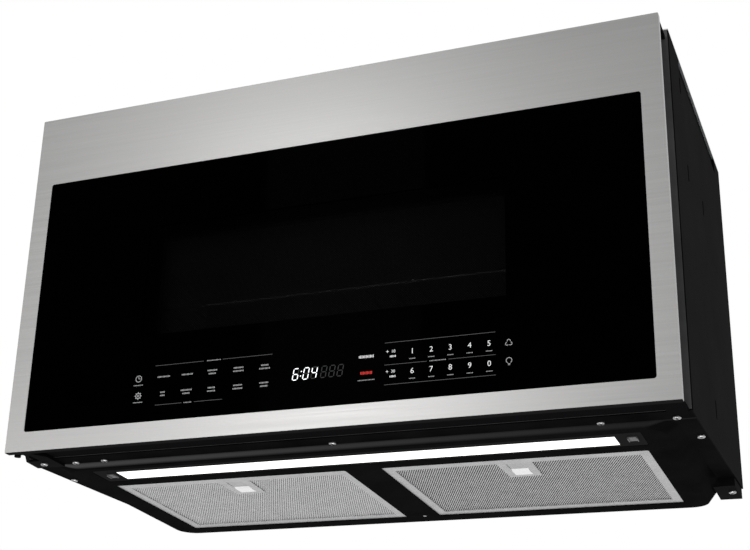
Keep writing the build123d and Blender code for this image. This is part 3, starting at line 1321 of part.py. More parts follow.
def door_body():
    """Moulded door body: glass seat, outer walls, window rim and the grip's two ends."""
    y = (SKIN_BACK_Y, DOOR_BACK_Y)
    body = block(DOOR_BODY_X, y, DOOR_BODY_Z)
    seat = rounded_plate_y(
        grow(GLASS_X, -GLASS_PLAY),
        (SKIN_BACK_Y - 1, GLASS_BACK_Y),
        grow(GLASS_Z, -GLASS_PLAY),
        GLASS_CORNER_R - GLASS_PLAY,
    )
    window = block(WINDOW_X, grow(y, 1), WINDOW_Z)
    plate_back = GLASS_BACK_Y + DOOR_BODY_WALL
    pocket = block(
        grow(DOOR_BODY_X, -DOOR_BODY_WALL),
        (plate_back, DOOR_BACK_Y + 1),
        grow(DOOR_BODY_Z, -DOOR_BODY_WALL),
    )
    rim = block(grow(WINDOW_X, WINDOW_RIM), (plate_back, CHOKE_Y[0]), grow(WINDOW_Z, WINDOW_RIM))
    electronics = block(TOUCH_BOARD_X, (GLASS_BACK_Y - 1, plate_back - 1), TOUCH_BOARD_Z)
    display = block(DISPLAY_X, (GLASS_BACK_Y, plate_back + 1), DISPLAY_Z)
    bosses = block((DOOR_BODY_X[0], HINGE_X + 8), (SKIN_BACK_Y, HINGE_Y + 9), DOOR_BODY_Z)
    bores = hinge_bore(DOOR_BODY_Z[0] - 1, DOOR_BODY_Z[0] + PIN_ENGAGEMENT + 1)
    bores += hinge_bore(DOOR_BODY_Z[1] - PIN_ENGAGEMENT - 1, DOOR_BODY_Z[1] + 1)
    posts = [
        block((x, x + 6), (plate_back, CHOKE_Y[0]), (z, z + 6))
        for x in (choke_x()[0] + 4, choke_x()[1] - 10)
        for z in (choke_z()[0] + 4, choke_z()[1] - 10)
    ]
    guides = []
    for z in (LATCH_HOOK_Z[0] + 66, LATCH_HOOK_Z[1] - 56):
        channel = block(grow(LATCH_X, 5), (plate_back, LATCH_BAR_Y[1] + 3), (z, z + 8))
        slot = block(grow(LATCH_X, 0.3), (LATCH_BAR_Y[0] - 0.3, LATCH_BAR_Y[1] + 0.3), (z - 1, z + 9))
        guides.append(channel - slot)
    spring_seat = block(
        grow(LATCH_X, 3),
        (plate_back, LATCH_BAR_Y[1]),
        (LATCH_SPRING_Z[1], LATCH_SPRING_Z[1] + 4),
    )
    grip_ends = [
        block((DOOR_BODY_X[1] - DOOR_BODY_WALL, DOOR_HALF - DOOR_SKIN), y, z)
        for z in ((DOOR_LOW_Z + DOOR_SKIN, DOOR_BODY_Z[0]), (DOOR_BODY_Z[1], DOOR_TOP_Z - DOOR_SKIN))
    ]
    hollow_body = body - seat - pocket - electronics + grip_ends
    return hollow_body + rim + bosses + posts + guides + spring_seat - window - bores - display


def hinge_bore(low, high):
    """Running bore for a hinge pin."""
    return rod_z(HINGE_PIN_R + RUNNING_PLAY, HINGE_X, HINGE_Y, (low, high))


def choke_panel():
    """Steel inner door: a folded tray with a raised window frame towards the oven."""
    outer = block(choke_x(), (CHOKE_Y[0], CHOKE_Y[1] - 2), choke_z())
    hollow = block(grow(choke_x(), -SHEET), (CHOKE_Y[0] + SHEET, CHOKE_Y[1]), grow(choke_z(), -SHEET))
    raised = block(grow(CAVITY_X, -6), (CHOKE_Y[0] + SHEET, CHOKE_Y[1] - 1), grow(CAVITY_Z, -6))
    raised_hollow = block(
        grow(CAVITY_X, -6 - SHEET),
        (CHOKE_Y[0] - 1, CHOKE_Y[1] - 1 - SHEET),
        grow(CAVITY_Z, -6 - SHEET),
    )
    window = block(WINDOW_X, grow(CHOKE_Y, 1), WINDOW_Z)
    frame = outer - hollow + raised - raised_hollow
    bezel = block(grow(WINDOW_X, WINDOW_RIM), (CHOKE_Y[0], CHOKE_Y[1] - 1), grow(WINDOW_Z, WINDOW_RIM))
    return frame + bezel - window


def choke_cover():
    """Plastic ring over the choke channel."""
    ring = block(grow(choke_x(), -SHEET), (CHOKE_Y[1] - 2, CHOKE_Y[1]), grow(choke_z(), -SHEET))
    middle = block(grow(CAVITY_X, -6), grow((CHOKE_Y[1] - 2, CHOKE_Y[1]), 1), grow(CAVITY_Z, -6))
    lip = block(grow(choke_x(), -SHEET), (CHOKE_Y[1] - 5, CHOKE_Y[1] - 2), grow(choke_z(), -SHEET))
    lip_hollow = block(
        grow(choke_x(), -SHEET - 1.5),
        (CHOKE_Y[1] - 6, CHOKE_Y[1] - 1),
        grow(choke_z(), -SHEET - 1.5),
    )
    return ring - middle + (lip - lip_hollow)


def door_screen():
    """Perforated steel screen of the window."""
    y = CHOKE_Y[0] + 6.0
    return block(WINDOW_X, (y, y + 0.8), WINDOW_Z)


def touch_board():
    """Touch board behind the glass with the clock display's body."""
    board = block(
        grow(TOUCH_BOARD_X, -0.5),
        (GLASS_BACK_Y, GLASS_BACK_Y + 1.6),
        grow(TOUCH_BOARD_Z, -0.5),
    )
    display = block(
        grow(DISPLAY_X, -0.5),
        (GLASS_BACK_Y + 1.6, GLASS_BACK_Y + 7.0),
        grow(DISPLAY_Z, -0.5),
    )
    return board + display


LATCH_SPRING_Z = (LATCH_HOOK_Z[1] + 16.0, LATCH_HOOK_Z[1] + 36.0)


def latch_hooks():
    """Sliding bar in the door with two hooks that reach into the housing."""
    bar_z = (LATCH_HOOK_Z[0] - HOOK_HALF, LATCH_SPRING_Z[0])
    bar = block(LATCH_X, LATCH_BAR_Y, bar_z)
    hooks = []
    for z in LATCH_HOOK_Z:
        tip = BODY_FRONT_Y + HOOK_REACH
        profile = [
            (LATCH_BAR_Y[1] - 1, z - HOOK_HALF + 3),
            (tip - 7, z - HOOK_HALF + 3),
            (tip - 7, z - HOOK_HALF),
            (tip, z),
            (tip - 3, z + HOOK_HALF),
            (LATCH_BAR_Y[1] - 1, z + HOOK_HALF),
        ]
        hooks.append(prism_x(profile, LATCH_X))
    return bar + hooks


def latch_spring():
    """Compression spring that pushes the latch bar down, as its envelope tube."""
    x = sum(LATCH_X) / 2
    y = sum(LATCH_BAR_Y) / 2
    tube = rod_z(SPRING_R, x, y, LATCH_SPRING_Z)
    return tube - rod_z(SPRING_R - 1, x, y, grow(LATCH_SPRING_Z, 1))


# ---------------------------------------------------------------- hinges and interlock
HINGE_SCREW = (-HALF + 21.0, BODY_FRONT_Y + 7.5)
LOWER_HINGE_Z = (FLANGE_FRONT_Z - HINGE_PLATE, FLANGE_FRONT_Z)
UPPER_HINGE_Z = (DOOR_BODY_Z[1] + HINGE_PLAY, DOOR_BODY_Z[1] + HINGE_PLAY + HINGE_PLATE)


def hinge_plate(z, rear_y):
    """Hinge arm: an eye on a narrow neck, then a loop round a three-cornered hole, then the foot."""
    outline = [
        (HINGE_X, HINGE_Y - 3.5),
        (HINGE_X + 12, HINGE_Y - 3.5),
        (HINGE_REACH_X, BODY_FRONT_Y - 18),
        (HINGE_REACH_X, rear_y),
        (-INNER_HALF + 1.5, rear_y),
        (-INNER_HALF + 3, BODY_FRONT_Y - 5),
        (HINGE_X + 7, HINGE_Y + 4),
        (HINGE_X, HINGE_Y + 4),
    ]
    hole = [
        (HINGE_X + 10.8, HINGE_Y + 7),
        (HINGE_X + 11.3, BODY_FRONT_Y - 4),
        (HINGE_X - 4, BODY_FRONT_Y - 4),
    ]
    arm = prism_z(outline, z) + rod_z(HINGE_EYE_R, HINGE_X, HINGE_Y, z)
    return arm - prism_z(hole, grow(z, 1))


def lower_hinge_bracket():
    """Lower hinge with its riveted pin, screwed under the front strip."""
    plate = hinge_plate(LOWER_HINGE_Z, STRIP_END_Y - 1)
    hole = rod_z(SCREW_SHANK_R + SCREW_PLAY, *HINGE_SCREW, grow(LOWER_HINGE_Z, 1))
    beside = rod_z(SCREW_HEAD_R + 1, STRIP_SCREW_X[0], STRIP_SCREW_Y, grow(LOWER_HINGE_Z, 1))
    pin = rod_z(HINGE_PIN_R, HINGE_X, HINGE_Y, (LOWER_HINGE_Z[0], DOOR_BODY_Z[0] + PIN_ENGAGEMENT))
    head = rod_z(HINGE_PIN_R + 0.8, HINGE_X, HINGE_Y, (0.3, LOWER_HINGE_Z[0]))
    return plate - hole - beside + pin + head


def upper_hinge_bracket():
    """Upper hinge with its riveted pin, its upturned foot on the front plate."""
    plate = hinge_plate(UPPER_HINGE_Z, BODY_FRONT_Y)
    foot = block(
        (-INNER_HALF + 4, HINGE_REACH_X),
        (BODY_FRONT_Y - 2.5, BODY_FRONT_Y),
        (UPPER_HINGE_Z[0], COVER_Z - 2),
    )
    pin = rod_z(HINGE_PIN_R, HINGE_X, HINGE_Y, (DOOR_BODY_Z[1] - PIN_ENGAGEMENT, UPPER_HINGE_Z[1]))
    return plate + foot + pin


BRACKET_X = (LATCH_X[0] - 9.0, LATCH_X[1] + 9.0)
BRACKET_Y = (FRAME_BACK_Y, FRAME_BACK_Y + 30.0)


def interlock_bracket():
    """Moulded carrier of the door switches, with a mouth behind each latch slot."""
    z = (LATCH_HOOK_Z[0] - 24, LATCH_HOOK_Z[1] + 26)
    body = block(BRACKET_X, BRACKET_Y, z)
    mouths = []
    for hook_z in LATCH_HOOK_Z:
        mouth = grow(latch_slot_z(hook_z), 0.5)
        mouths.append(
            block(grow(LATCH_X, LATCH_PLAY + 0.5), (BRACKET_Y[0] - 1, BRACKET_Y[1] - 4), mouth)
        )
    middle = block(
        grow(BRACKET_X, -3),
        (BRACKET_Y[0] - 1, BRACKET_Y[1] - 3),
        (LATCH_HOOK_Z[0] + 24, LATCH_HOOK_Z[1] - 20),
    )
    return body - mouths - middle


def interlock_switches():
    """Two door switches clipped to the back of the bracket."""
    switches = []
    for z in LATCH_HOOK_Z:
        case = block(
            (BRACKET_X[0] + 4, BRACKET_X[1] - 4),
            (BRACKET_Y[1], BRACKET_Y[1] + 10),
            (z - 14, z + 14),
        )
        tabs = [
            block(
                ((BRACKET_X[0] + BRACKET_X[1]) / 2 - 3, (BRACKET_X[0] + BRACKET_X[1]) / 2 + 3),
                (BRACKET_Y[1] + 10, BRACKET_Y[1] + 17),
                (z + offset, z + offset + 1),
            )
            for offset in (-10, 0, 9)
        ]
        switches.append(case + tabs)
    return Compound(children=switches)


# ---------------------------------------------------------------- the nodes
NODES = {
    "front_frame": front_frame,
    "right_side_panel": side_panel,
    "left_side_panel": lambda: mirror_x(side_panel()),
    "top_cover": top_cover,
    "back_panel": back_panel,
    "base_pan": base_pan,
    "base_plate": base_plate,
    "rear_foot": rear_foot,
    "housing_screws": housing_screws,
    "lamp_holder": lamp_holder,
    "lamp_lens": lamp_lens,
    "lamp_board": lamp_board,
    "right_filter_frame": filter_frame,
    "right_filter_mesh": filter_mesh,
    "right_filter_tab": filter_tab,
    "left_filter_frame": lambda: mirror_x(filter_frame()),
    "left_filter_mesh": lambda: mirror_x(filter_mesh()),
    "left_filter_tab": lambda: mirror_x(filter_tab()),
    "oven_cavity": oven_cavity,
    "waveguide_cover": waveguide_cover,
    "oven_lamp": oven_lamp,
    "turntable_motor": turntable_motor,
    "turntable_coupler": turntable_coupler,
    "roller_ring": roller_ring,
    "roller_1": lambda: roller(0),
    "roller_2": lambda: roller(1),
    "roller_3": lambda: roller(2),
    "glass_tray": glass_tray,
    "wire_rack": wire_rack,
    "convection_cover": convection_cover,
    "convection_housing": convection_housing,
    "convection_heater": convection_heater,
    "convection_fan": convection_fan,
    "convection_motor": convection_motor,
    "magnetron": magnetron,
    "inverter_board": inverter_board,
    "magnetron_fan_housing": magnetron_fan_housing,
    "magnetron_fan": magnetron_fan,
    "relay_board": relay_board,
    "vent_blower_housing": vent_blower_housing,
    "vent_blower_motor": vent_blower_motor,
    "blower_shaft": blower_shaft,
    "blower_wheels": blower_wheels,
    "exhaust_adapter": exhaust_adapter,
    "damper_flap": damper_flap,
    "charcoal_filter": charcoal_filter,
    "cord_bush": cord_bush,
    "door_frame": door_frame,
    "door_glass": door_glass,
    "door_body": door_body,
    "choke_panel": choke_panel,
    "choke_cover": choke_cover,
    "door_screen": door_screen,
    "touch_board": touch_board,
    "latch_hooks": latch_hooks,
    "latch_spring": latch_spring,
    "lower_hinge_bracket": lower_hinge_bracket,
    "upper_hinge_bracket": upper_hinge_bracket,
    "interlock_bracket": interlock_bracket,
    "interlock_switches": interlock_switches,
}

for name, build in NODES.items():
    export_step(build(), "parts/" + name + ".step")
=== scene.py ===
"""Over the range microwave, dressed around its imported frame.

Everything is in metres in the frame's own axes: X to the right, Y to the rear, Z up.
"""
import logging
import math
from dataclasses import dataclass
from enum import Enum
from typing import Optional, Sequence, Union

import bmesh
import bpy
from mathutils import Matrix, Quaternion, Vector


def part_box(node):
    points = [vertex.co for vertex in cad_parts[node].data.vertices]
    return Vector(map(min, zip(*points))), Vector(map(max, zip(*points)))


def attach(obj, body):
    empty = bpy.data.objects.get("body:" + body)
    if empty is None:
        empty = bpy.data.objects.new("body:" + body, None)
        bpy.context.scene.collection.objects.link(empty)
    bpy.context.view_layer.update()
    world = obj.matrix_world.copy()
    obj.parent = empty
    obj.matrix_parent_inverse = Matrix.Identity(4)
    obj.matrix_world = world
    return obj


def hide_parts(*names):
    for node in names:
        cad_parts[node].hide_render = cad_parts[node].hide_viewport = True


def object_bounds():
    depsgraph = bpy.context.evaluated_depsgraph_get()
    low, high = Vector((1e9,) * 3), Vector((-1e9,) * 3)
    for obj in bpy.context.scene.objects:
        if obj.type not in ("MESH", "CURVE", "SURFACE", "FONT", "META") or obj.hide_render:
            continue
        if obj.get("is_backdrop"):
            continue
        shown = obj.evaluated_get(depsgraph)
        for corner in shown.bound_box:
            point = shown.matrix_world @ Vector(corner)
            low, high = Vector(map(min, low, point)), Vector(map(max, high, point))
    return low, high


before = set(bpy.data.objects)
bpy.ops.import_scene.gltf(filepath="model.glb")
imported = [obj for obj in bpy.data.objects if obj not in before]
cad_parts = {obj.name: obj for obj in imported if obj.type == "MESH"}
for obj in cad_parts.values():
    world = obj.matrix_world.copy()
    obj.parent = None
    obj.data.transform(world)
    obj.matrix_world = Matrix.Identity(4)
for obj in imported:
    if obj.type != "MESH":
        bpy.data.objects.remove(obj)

LOG = logging.getLogger("microwave")
MM = 0.001
FULL_TURN = 2 * math.pi

Point = tuple[float, float]
Place = tuple[float, float, float]
Window = tuple[float, float, float, float]
Colour = tuple[float, float, float]
Stretch = Union[float, Sequence[float]]
Socket = bpy.types.NodeSocket


def shaded(colour: Colour, share: float, lift: float = 0.0) -> Colour:
    """A colour times a share plus a lift, with no channel above one."""
    return tuple(min(1.0, channel * share + lift) for channel in colour)


# ---------------------------------------------------------------- materials
class Grain(Enum):
    """Direction in which a finish is brushed or rolled, as texture stretch along X, Y and Z."""

    ALONG_X = (6.0, 900.0, 900.0)
    ALONG_Y = (900.0, 6.0, 900.0)
    ALONG_Z = (900.0, 900.0, 6.0)
    EVEN = (300.0, 300.0, 300.0)


class NodeBench:
    """A node tree under construction."""

    def __init__(self, tree: bpy.types.NodeTree) -> None:
        """Starts from an empty tree."""
        self.tree = tree
        tree.nodes.clear()

    def link(self, source: Socket, target: Socket) -> None:
        """Joins two sockets."""
        self.tree.links.new(source, target)

    def node(self, kind: str, inputs: Optional[dict] = None, **settings: object) -> bpy.types.Node:
        """Adds a node.

        Args:
            kind: the node's type name.
            inputs: a value or a socket to link, by the name or number of each input.
            settings: its properties.

        Returns:
            The new node.
        """
        made = self.tree.nodes.new(kind)
        for name, value in settings.items():
            setattr(made, name, value)
        for name, value in (inputs or {}).items():
            if isinstance(value, Socket):
                self.link(value, made.inputs[name])
            else:
                made.inputs[name].default_value = value
        return made

    def calculate(self, operation: str, first: object, second: object = 0.0) -> Socket:
        """Result of one arithmetic step on sockets or numbers."""
        return self.node("ShaderNodeMath", {0: first, 1: second}, operation=operation).outputs[0]

    def span(self, value: Socket, low: float, high: float, start: float = 0.0, end: float = 1.0) -> Socket:
        """Maps a value from start..end to low..high."""
        limits = {"From Min": start, "From Max": end, "To Min": low, "To Max": high}
        return self.node("ShaderNodeMapRange", {"Value": value, **limits}).outputs["Result"]


class MaterialBench(NodeBench):
    """A material under construction: one principled shader and the texture nodes that feed it."""

    def __init__(self, name: str) -> None:
        """Starts a material with the given name."""
        self.material = bpy.data.materials.new(name)
        self.material.use_nodes = True
        super().__init__(self.material.node_tree)
        self.shader = self.node("ShaderNodeBsdfPrincipled")
        self.output = self.node("ShaderNodeOutputMaterial", {"Surface": self.shader.outputs["BSDF"]})

    def set(self, **values: object) -> None:
        """Sets constant values on the shader's own sockets.

        Args:
            values: socket names with underscores for spaces, and their values.
        """
        for name, value in values.items():
            self.shader.inputs[name.replace("_", " ")].default_value = value

    def place(self, stretch: Stretch, turn: Sequence[float] = (0, 0, 0)) -> Socket:
        """Texture position on the object, stretched and turned.

        Args:
            stretch: scale along X, Y and Z, or one scale for all three.
            turn: rotation in radians.

        Returns:
            The vector socket.
        """
        position = self.node("ShaderNodeTexCoord").outputs["Object"]
        scale = (stretch,) * 3 if isinstance(stretch, float) else stretch
        inputs = {"Vector": position, "Scale": scale, "Rotation": turn}
        return self.node("ShaderNodeMapping", inputs).outputs["Vector"]

    def noise(self, stretch: Stretch, detail: float = 3.0, rough: float = 0.55) -> Socket:
        """Noise value between 0 and 1.

        Args:
            stretch: scale per metre.
            detail: number of octaves.
            rough: share of the finer octaves.

        Returns:
            The value socket.
        """
        inputs = {"Vector": self.place(stretch), "Scale": 1.0, "Detail": detail, "Roughness": rough}
        return self.node("ShaderNodeTexNoise", inputs).outputs["Fac"]

    def pattern(self, stretch: Stretch, spread: float, turn: Sequence[float]) -> bpy.types.Node:
        """The cell texture behind cells and flakes."""
        inputs = {"Vector": self.place(stretch, turn), "Scale": 1.0, "Randomness": spread}
        return self.node("ShaderNodeTexVoronoi", inputs)

    def cells(self, stretch: Stretch, spread: float = 1.0, turn: Sequence[float] = (0, 0, 0)) -> Socket:
        """Distance from the middle of the nearest cell of a pattern.

        Args:
            stretch: scale per metre.
            spread: how irregular the cells are.
            turn: rotation in radians.

        Returns:
            The value socket.
        """
        return self.pattern(stretch, spread, turn).outputs["Distance"]

    def flakes(self, stretch: Stretch) -> Socket:
        """Cells that each have one grey value of their own."""
        cells = self.pattern(stretch, 1.0, (0, 0, 0)).outputs["Color"]
        return self.node("ShaderNodeRGBToBW", {"Color": cells}).outputs["Val"]

    def tint(self, value: Socket, low: Union[Colour, Socket], high: Colour) -> Socket:
        """Colour between two colours, by a value between 0 and 1."""
        start = low if isinstance(low, Socket) else (*low, 1.0)
        inputs = {"Factor": value, "A": start, "B": (*high, 1.0)}
        return self.node("ShaderNodeMix", inputs, data_type="RGBA").outputs["Result"]

    def colour(self, socket: Socket) -> None:
        """Feeds the base colour."""
        self.link(socket, self.shader.inputs["Base Color"])

    def shades(self, value: Socket, colour: Colour, low: float, high: float) -> None:
        """Feeds the base colour with two shades of one colour, by a value between 0 and 1."""
        self.colour(self.tint(value, shaded(colour, low), shaded(colour, high)))

    def roughness(self, socket: Socket) -> None:
        """Feeds the roughness."""
        self.link(socket, self.shader.inputs["Roughness"])

    def bump(self, height: Socket, depth: float, strength: float = 1.0) -> None:
        """Feeds the normal from a height.

        Args:
            height: value between 0 and 1.
            depth: real depth in metres.
            strength: how much of the bump shows.
        """
        made = self.node("ShaderNodeBump", {"Distance": depth, "Strength": strength, "Height": height})
        self.link(made.outputs["Normal"], self.shader.inputs["Normal"])

    def axis(self, name: str) -> Socket:
        """Object position along one axis, in metres."""
        return self.node("ShaderNodeSeparateXYZ", {"Vector": self.place(1.0)}).outputs[name]

    def inside(self, axis: str, low: float, high: float) -> Socket:
        """One where the object position lies between two values, else zero."""
        position = self.axis(axis)
        above = self.calculate("GREATER_THAN", position, low)
        below = self.calculate("LESS_THAN", position, high)
        return self.calculate("MULTIPLY", above, below)

    def holes(self, open_share: Socket) -> None:
        """Lets light straight through the surface where the share is one."""
        clear = self.node("ShaderNodeBsdfTransparent").outputs["BSDF"]
        mix = self.node("ShaderNodeMixShader", {"Fac": open_share, 1: self.shader.outputs["BSDF"], 2: clear})
        self.link(mix.outputs["Shader"], self.output.inputs["Surface"])


@dataclass(frozen=True)
class Finish:
    """A finish that makes its material once."""

    name: str

    def dress(self, bench: MaterialBench) -> None:
        """Fills the bench's material. Each finish has its own way."""
        raise NotImplementedError

    def material(self) -> bpy.types.Material:
        """The finish's material, made on first use."""
        label = f"{self.name}_finish"
        known = bpy.data.materials.get(label)
        if known is not None:
            return known
        bench = MaterialBench(label)
        self.dress(bench)
        return bench.material


@dataclass(frozen=True)
class BrushedSteel(Finish):
    """Stainless or plated sheet with a brushed grain."""

    colour: Colour = (0.25, 0.248, 0.246)
    rough: float = 0.32
    grain: Grain = Grain.ALONG_X
    # Height below which the sheet gets painted shade, and the colour of that shade; none when below zero.
    shade_below: float = -1.0
    underside_shade_colour: Colour = (0.012, 0.012, 0.012)

    def dress(self, bench: MaterialBench) -> None:
        """Long fine scratches in colour, roughness and relief, over a slow cloudiness."""
        scratches = bench.noise(self.grain.value, 4.0, 0.7)
        clouds = bench.noise(5.0, 2.0)
        fine = bench.span(scratches, 0.0, 0.75, 0.3, 0.7)
        mixed = bench.calculate("ADD", fine, bench.span(clouds, 0.0, 0.25))
        shade = bench.tint(mixed, shaded(self.colour, 0.93), shaded(self.colour, 1.06))
        bench.set(Metallic=1.0, Anisotropic=0.35)
        # Painted shade: below that height the sheet turns near black, not metallic and without gloss, for the
        # shade under the door's bottom return.
        if self.shade_below > 0.0:
            underside_shade = bench.calculate("LESS_THAN", bench.axis("Z"), self.shade_below)
            shade = bench.tint(underside_shade, shade, self.underside_shade_colour)
            bench.link(bench.calculate("SUBTRACT", 1.0, underside_shade), bench.shader.inputs["Metallic"])
            bench.set(Specular_IOR_Level=0.0)
        bench.colour(shade)
        bench.roughness(bench.span(scratches, self.rough - 0.04, self.rough + 0.06, 0.25, 0.75))
        bench.bump(scratches, 0.00001, 0.5)


@dataclass(frozen=True)
class PaintedSteel(Finish):
    """Painted sheet with a fine texture and a little dust."""

    colour: Colour = (0.007, 0.007, 0.0075)
    rough: float = 0.45
    gloss: float = 0.03
    peel: float = 1400.0
    # Middle and half width in Y, fade across X and colour of a painted highlight along a fold.
    painted_highlight_y: Optional[Point] = None
    painted_highlight_x: Point = (-0.34, 0.36)
    painted_highlight_colour: Colour = (0.066, 0.066, 0.068)

    def dress(self, bench: MaterialBench) -> None:
        """Orange peel relief with dusty clouds in the colour, and a paler painted highlight along a fold that
        fades to the right.
        """
        dust = bench.noise(14.0, 5.0, 0.65)
        grain = bench.noise(self.peel, 2.0)
        dusty = bench.span(dust, 0.0, 1.0, 0.3, 0.75)
        shade = bench.tint(dusty, shaded(self.colour, 0.82), shaded(self.colour, 1.35, 0.002))
        # Painted highlight: a paler band along the bead, fading to the right, where a lamp's reflection falls.
        if self.painted_highlight_y is not None:
            middle, half = self.painted_highlight_y
            away = bench.calculate("ABSOLUTE", bench.calculate("SUBTRACT", bench.axis("Y"), middle))
            painted_highlight = bench.calculate("MULTIPLY", bench.span(away, 1.0, 0.0, 0.4 * half, 1.4 * half),
                                   bench.span(bench.axis("X"), 1.0, 0.15, *self.painted_highlight_x))
            shade = bench.tint(painted_highlight, shade, self.painted_highlight_colour)
        bench.colour(shade)
        bench.roughness(bench.span(dust, self.rough - 0.06, self.rough + 0.12))
        bench.bump(grain, 0.00006, 0.5)
        bench.set(Specular_IOR_Level=0.0, Coat_Weight=self.gloss, Coat_Roughness=0.3)


@dataclass(frozen=True)
class MouldedPlastic(Finish):
    """Moulded plastic with a fine spark eroded grain."""

    colour: Colour = (0.009, 0.009, 0.0095)
    rough: float = 0.5
    sheen: float = 0.0
    gloss: float = 0.05

    def dress(self, bench: MaterialBench) -> None:
        """Fine grain relief with faint flow marks."""
        grain = bench.noise(2600.0, 2.0)
        flow = bench.noise((9.0, 9.0, 30.0))
        bench.shades(flow, self.colour, 0.9, 1.12)
        bench.roughness(bench.span(grain, self.rough - 0.08, self.rough + 0.1))
        bench.bump(grain, 0.00003, 0.6)
        bench.set(Specular_IOR_Level=self.sheen, Coat_Weight=self.gloss, Coat_Roughness=0.35)


@dataclass(frozen=True)
class GalvanisedSteel(Finish):
    """Zinc coated sheet with its spangle."""

    colour: Colour = (0.46, 0.47, 0.48)

    def dress(self, bench: MaterialBench) -> None:
        """Crystals of slightly different brightness, with faint rolling marks."""
        spangle = bench.flakes(85.0)
        rolled = bench.noise((8.0, 240.0, 240.0))
        value = bench.calculate("ADD", bench.span(spangle, 0.0, 0.6), bench.span(rolled, 0.0, 0.4))
        bench.shades(value, self.colour, 0.8, 1.18)
        bench.roughness(bench.span(spangle, 0.36, 0.52))
        bench.bump(rolled, 0.00003, 0.4)
        bench.set(Metallic=0.9)


@dataclass(frozen=True)
class OvenEnamel(Finish):
    """Grey enamel of the oven's inside, with fine speckles and cooking haze."""

    colour: Colour = (0.40, 0.41, 0.41)

    def dress(self, bench: MaterialBench) -> None:
        """Speckled colour and slow haze in the gloss."""
        speckle = bench.noise(900.0, 2.0, 0.8)
        haze = bench.noise(12.0, 4.0)
        bench.shades(bench.span(speckle, 0.0, 1.0, 0.35, 0.7), self.colour, 0.85, 1.12)
        bench.roughness(bench.span(haze, 0.22, 0.42))
        bench.bump(speckle, 0.00002, 0.3)


@dataclass(frozen=True)
class DoorGlass(Finish):
    """Black printed glass panel that is only tinted over the window."""

    window_x: Point = (-0.213, 0.209)
    window_z: Point = (0.1275, 0.2635)
    clear: float = 0.55
    print_colour: Colour = (0.0001, 0.0001, 0.00012)
    smear_colour: Colour = (0.0003, 0.0003, 0.00032)

    def dress(self, bench: MaterialBench) -> None:
        """Black print behind polished glass, with a tinted pane that shows the oven."""
        across, up = bench.inside("X", *self.window_x), bench.inside("Z", *self.window_z)
        pane = bench.calculate("MULTIPLY", across, up)
        smear = bench.noise((16.0, 16.0, 34.0), 4.0, 0.6)
        bench.colour(bench.tint(smear, self.print_colour, self.smear_colour))
        bench.roughness(bench.span(smear, 0.05, 0.11))
        bench.set(Specular_IOR_Level=0.0, Coat_Weight=0.0015, Coat_Roughness=0.04)
        bench.holes(bench.calculate("MULTIPLY", pane, self.clear))


@dataclass(frozen=True)
class PerforatedSteel(Finish):
    """Black sheet with a close pattern of round holes."""

    pitch: float = 0.0021
    hole_radius: float = 0.00078
    paint: Colour = (0.027, 0.027, 0.027)
    dusty: Colour = (0.048, 0.048, 0.048)

    def dress(self, bench: MaterialBench) -> None:
        """Staggered holes that let light through, over black paint."""
        stretch = (1.0 / self.pitch, 0.0, 1.0 / self.pitch)
        spots = bench.cells(stretch, 0.0, (0.0, math.radians(45), 0.0))
        open_share = bench.calculate("LESS_THAN", spots, self.hole_radius / self.pitch)
        dust = bench.noise(40.0)
        bench.colour(bench.tint(dust, self.paint, self.dusty))
        bench.roughness(bench.span(dust, 0.4, 0.6))
        bench.set(Specular_IOR_Level=0.0, Coat_Weight=0.04, Coat_Roughness=0.3)
        bench.holes(open_share)


@dataclass(frozen=True)
class RolledAluminium(Finish):
    """Thin rolled aluminium with handling scuffs."""

    colour: Colour = (0.50, 0.50, 0.51)
    rough: float = 0.42
    grain: Grain = Grain.ALONG_X

    def dress(self, bench: MaterialBench) -> None:
        """Rolling lines and scuffs in colour and gloss."""
        lines = bench.noise(self.grain.value, 3.0, 0.6)
        scuffs = bench.noise(60.0, 6.0, 0.7)
        halves = [bench.span(each, 0.0, 0.5, 0.3, 0.7) for each in (lines, scuffs)]
        bench.shades(bench.calculate("ADD", *halves), self.colour, 0.82, 1.15)
        bench.roughness(bench.span(scuffs, self.rough - 0.08, self.rough + 0.12))
        bench.bump(lines, 0.00002, 0.4)
        bench.set(Metallic=0.85)


@dataclass(frozen=True)
class HighlightedTab(RolledAluminium):
    """Rolled aluminium tab whose rear half has a painted highlight."""

    highlight_from_y: float = 0.0
    glow: float = 0.4

    def dress(self, bench: MaterialBench) -> None:
        """Rolled sheet, with a painted highlight on the rear half as a faint glow."""
        super().dress(bench)
        # Painted highlight: the rear half glows faintly.
        tab_highlight = bench.calculate("GREATER_THAN", bench.axis("Y"), self.highlight_from_y)
        bench.link(bench.calculate("MULTIPLY", tab_highlight, self.glow), bench.shader.inputs["Emission Strength"])
        bench.set(Emission_Color=(1.0, 1.0, 1.0, 1.0))


@dataclass(frozen=True)
class LayeredMesh(Finish):
    """Crimped aluminium layers deep inside a filter."""

    pitch: float = 0.0026
    # Painted shade: both colours are far darker than aluminium, for the shade deep inside the filter, and the
    # openings darkest.
    opening_shade_colour: Colour = (0.012, 0.012, 0.012)
    shaded_strand_colour: Colour = (0.07, 0.07, 0.072)

    def dress(self, bench: MaterialBench) -> None:
        """Dark openings between crossed bright strands, all in painted shade far darker than aluminium, for
        the depth inside the filter.
        """
        spots = bench.cells((1.0 / self.pitch, 1.0 / self.pitch, 0.0), 0.35, (0.0, 0.0, 0.6))
        bench.colour(bench.tint(bench.span(spots, 0.0, 1.0, 0.2, 0.62), self.opening_shade_colour, self.shaded_strand_colour))
        bench.roughness(bench.span(spots, 0.4, 0.65))
        bench.bump(spots, 0.0006, 0.8)
        bench.set(Metallic=0.7)


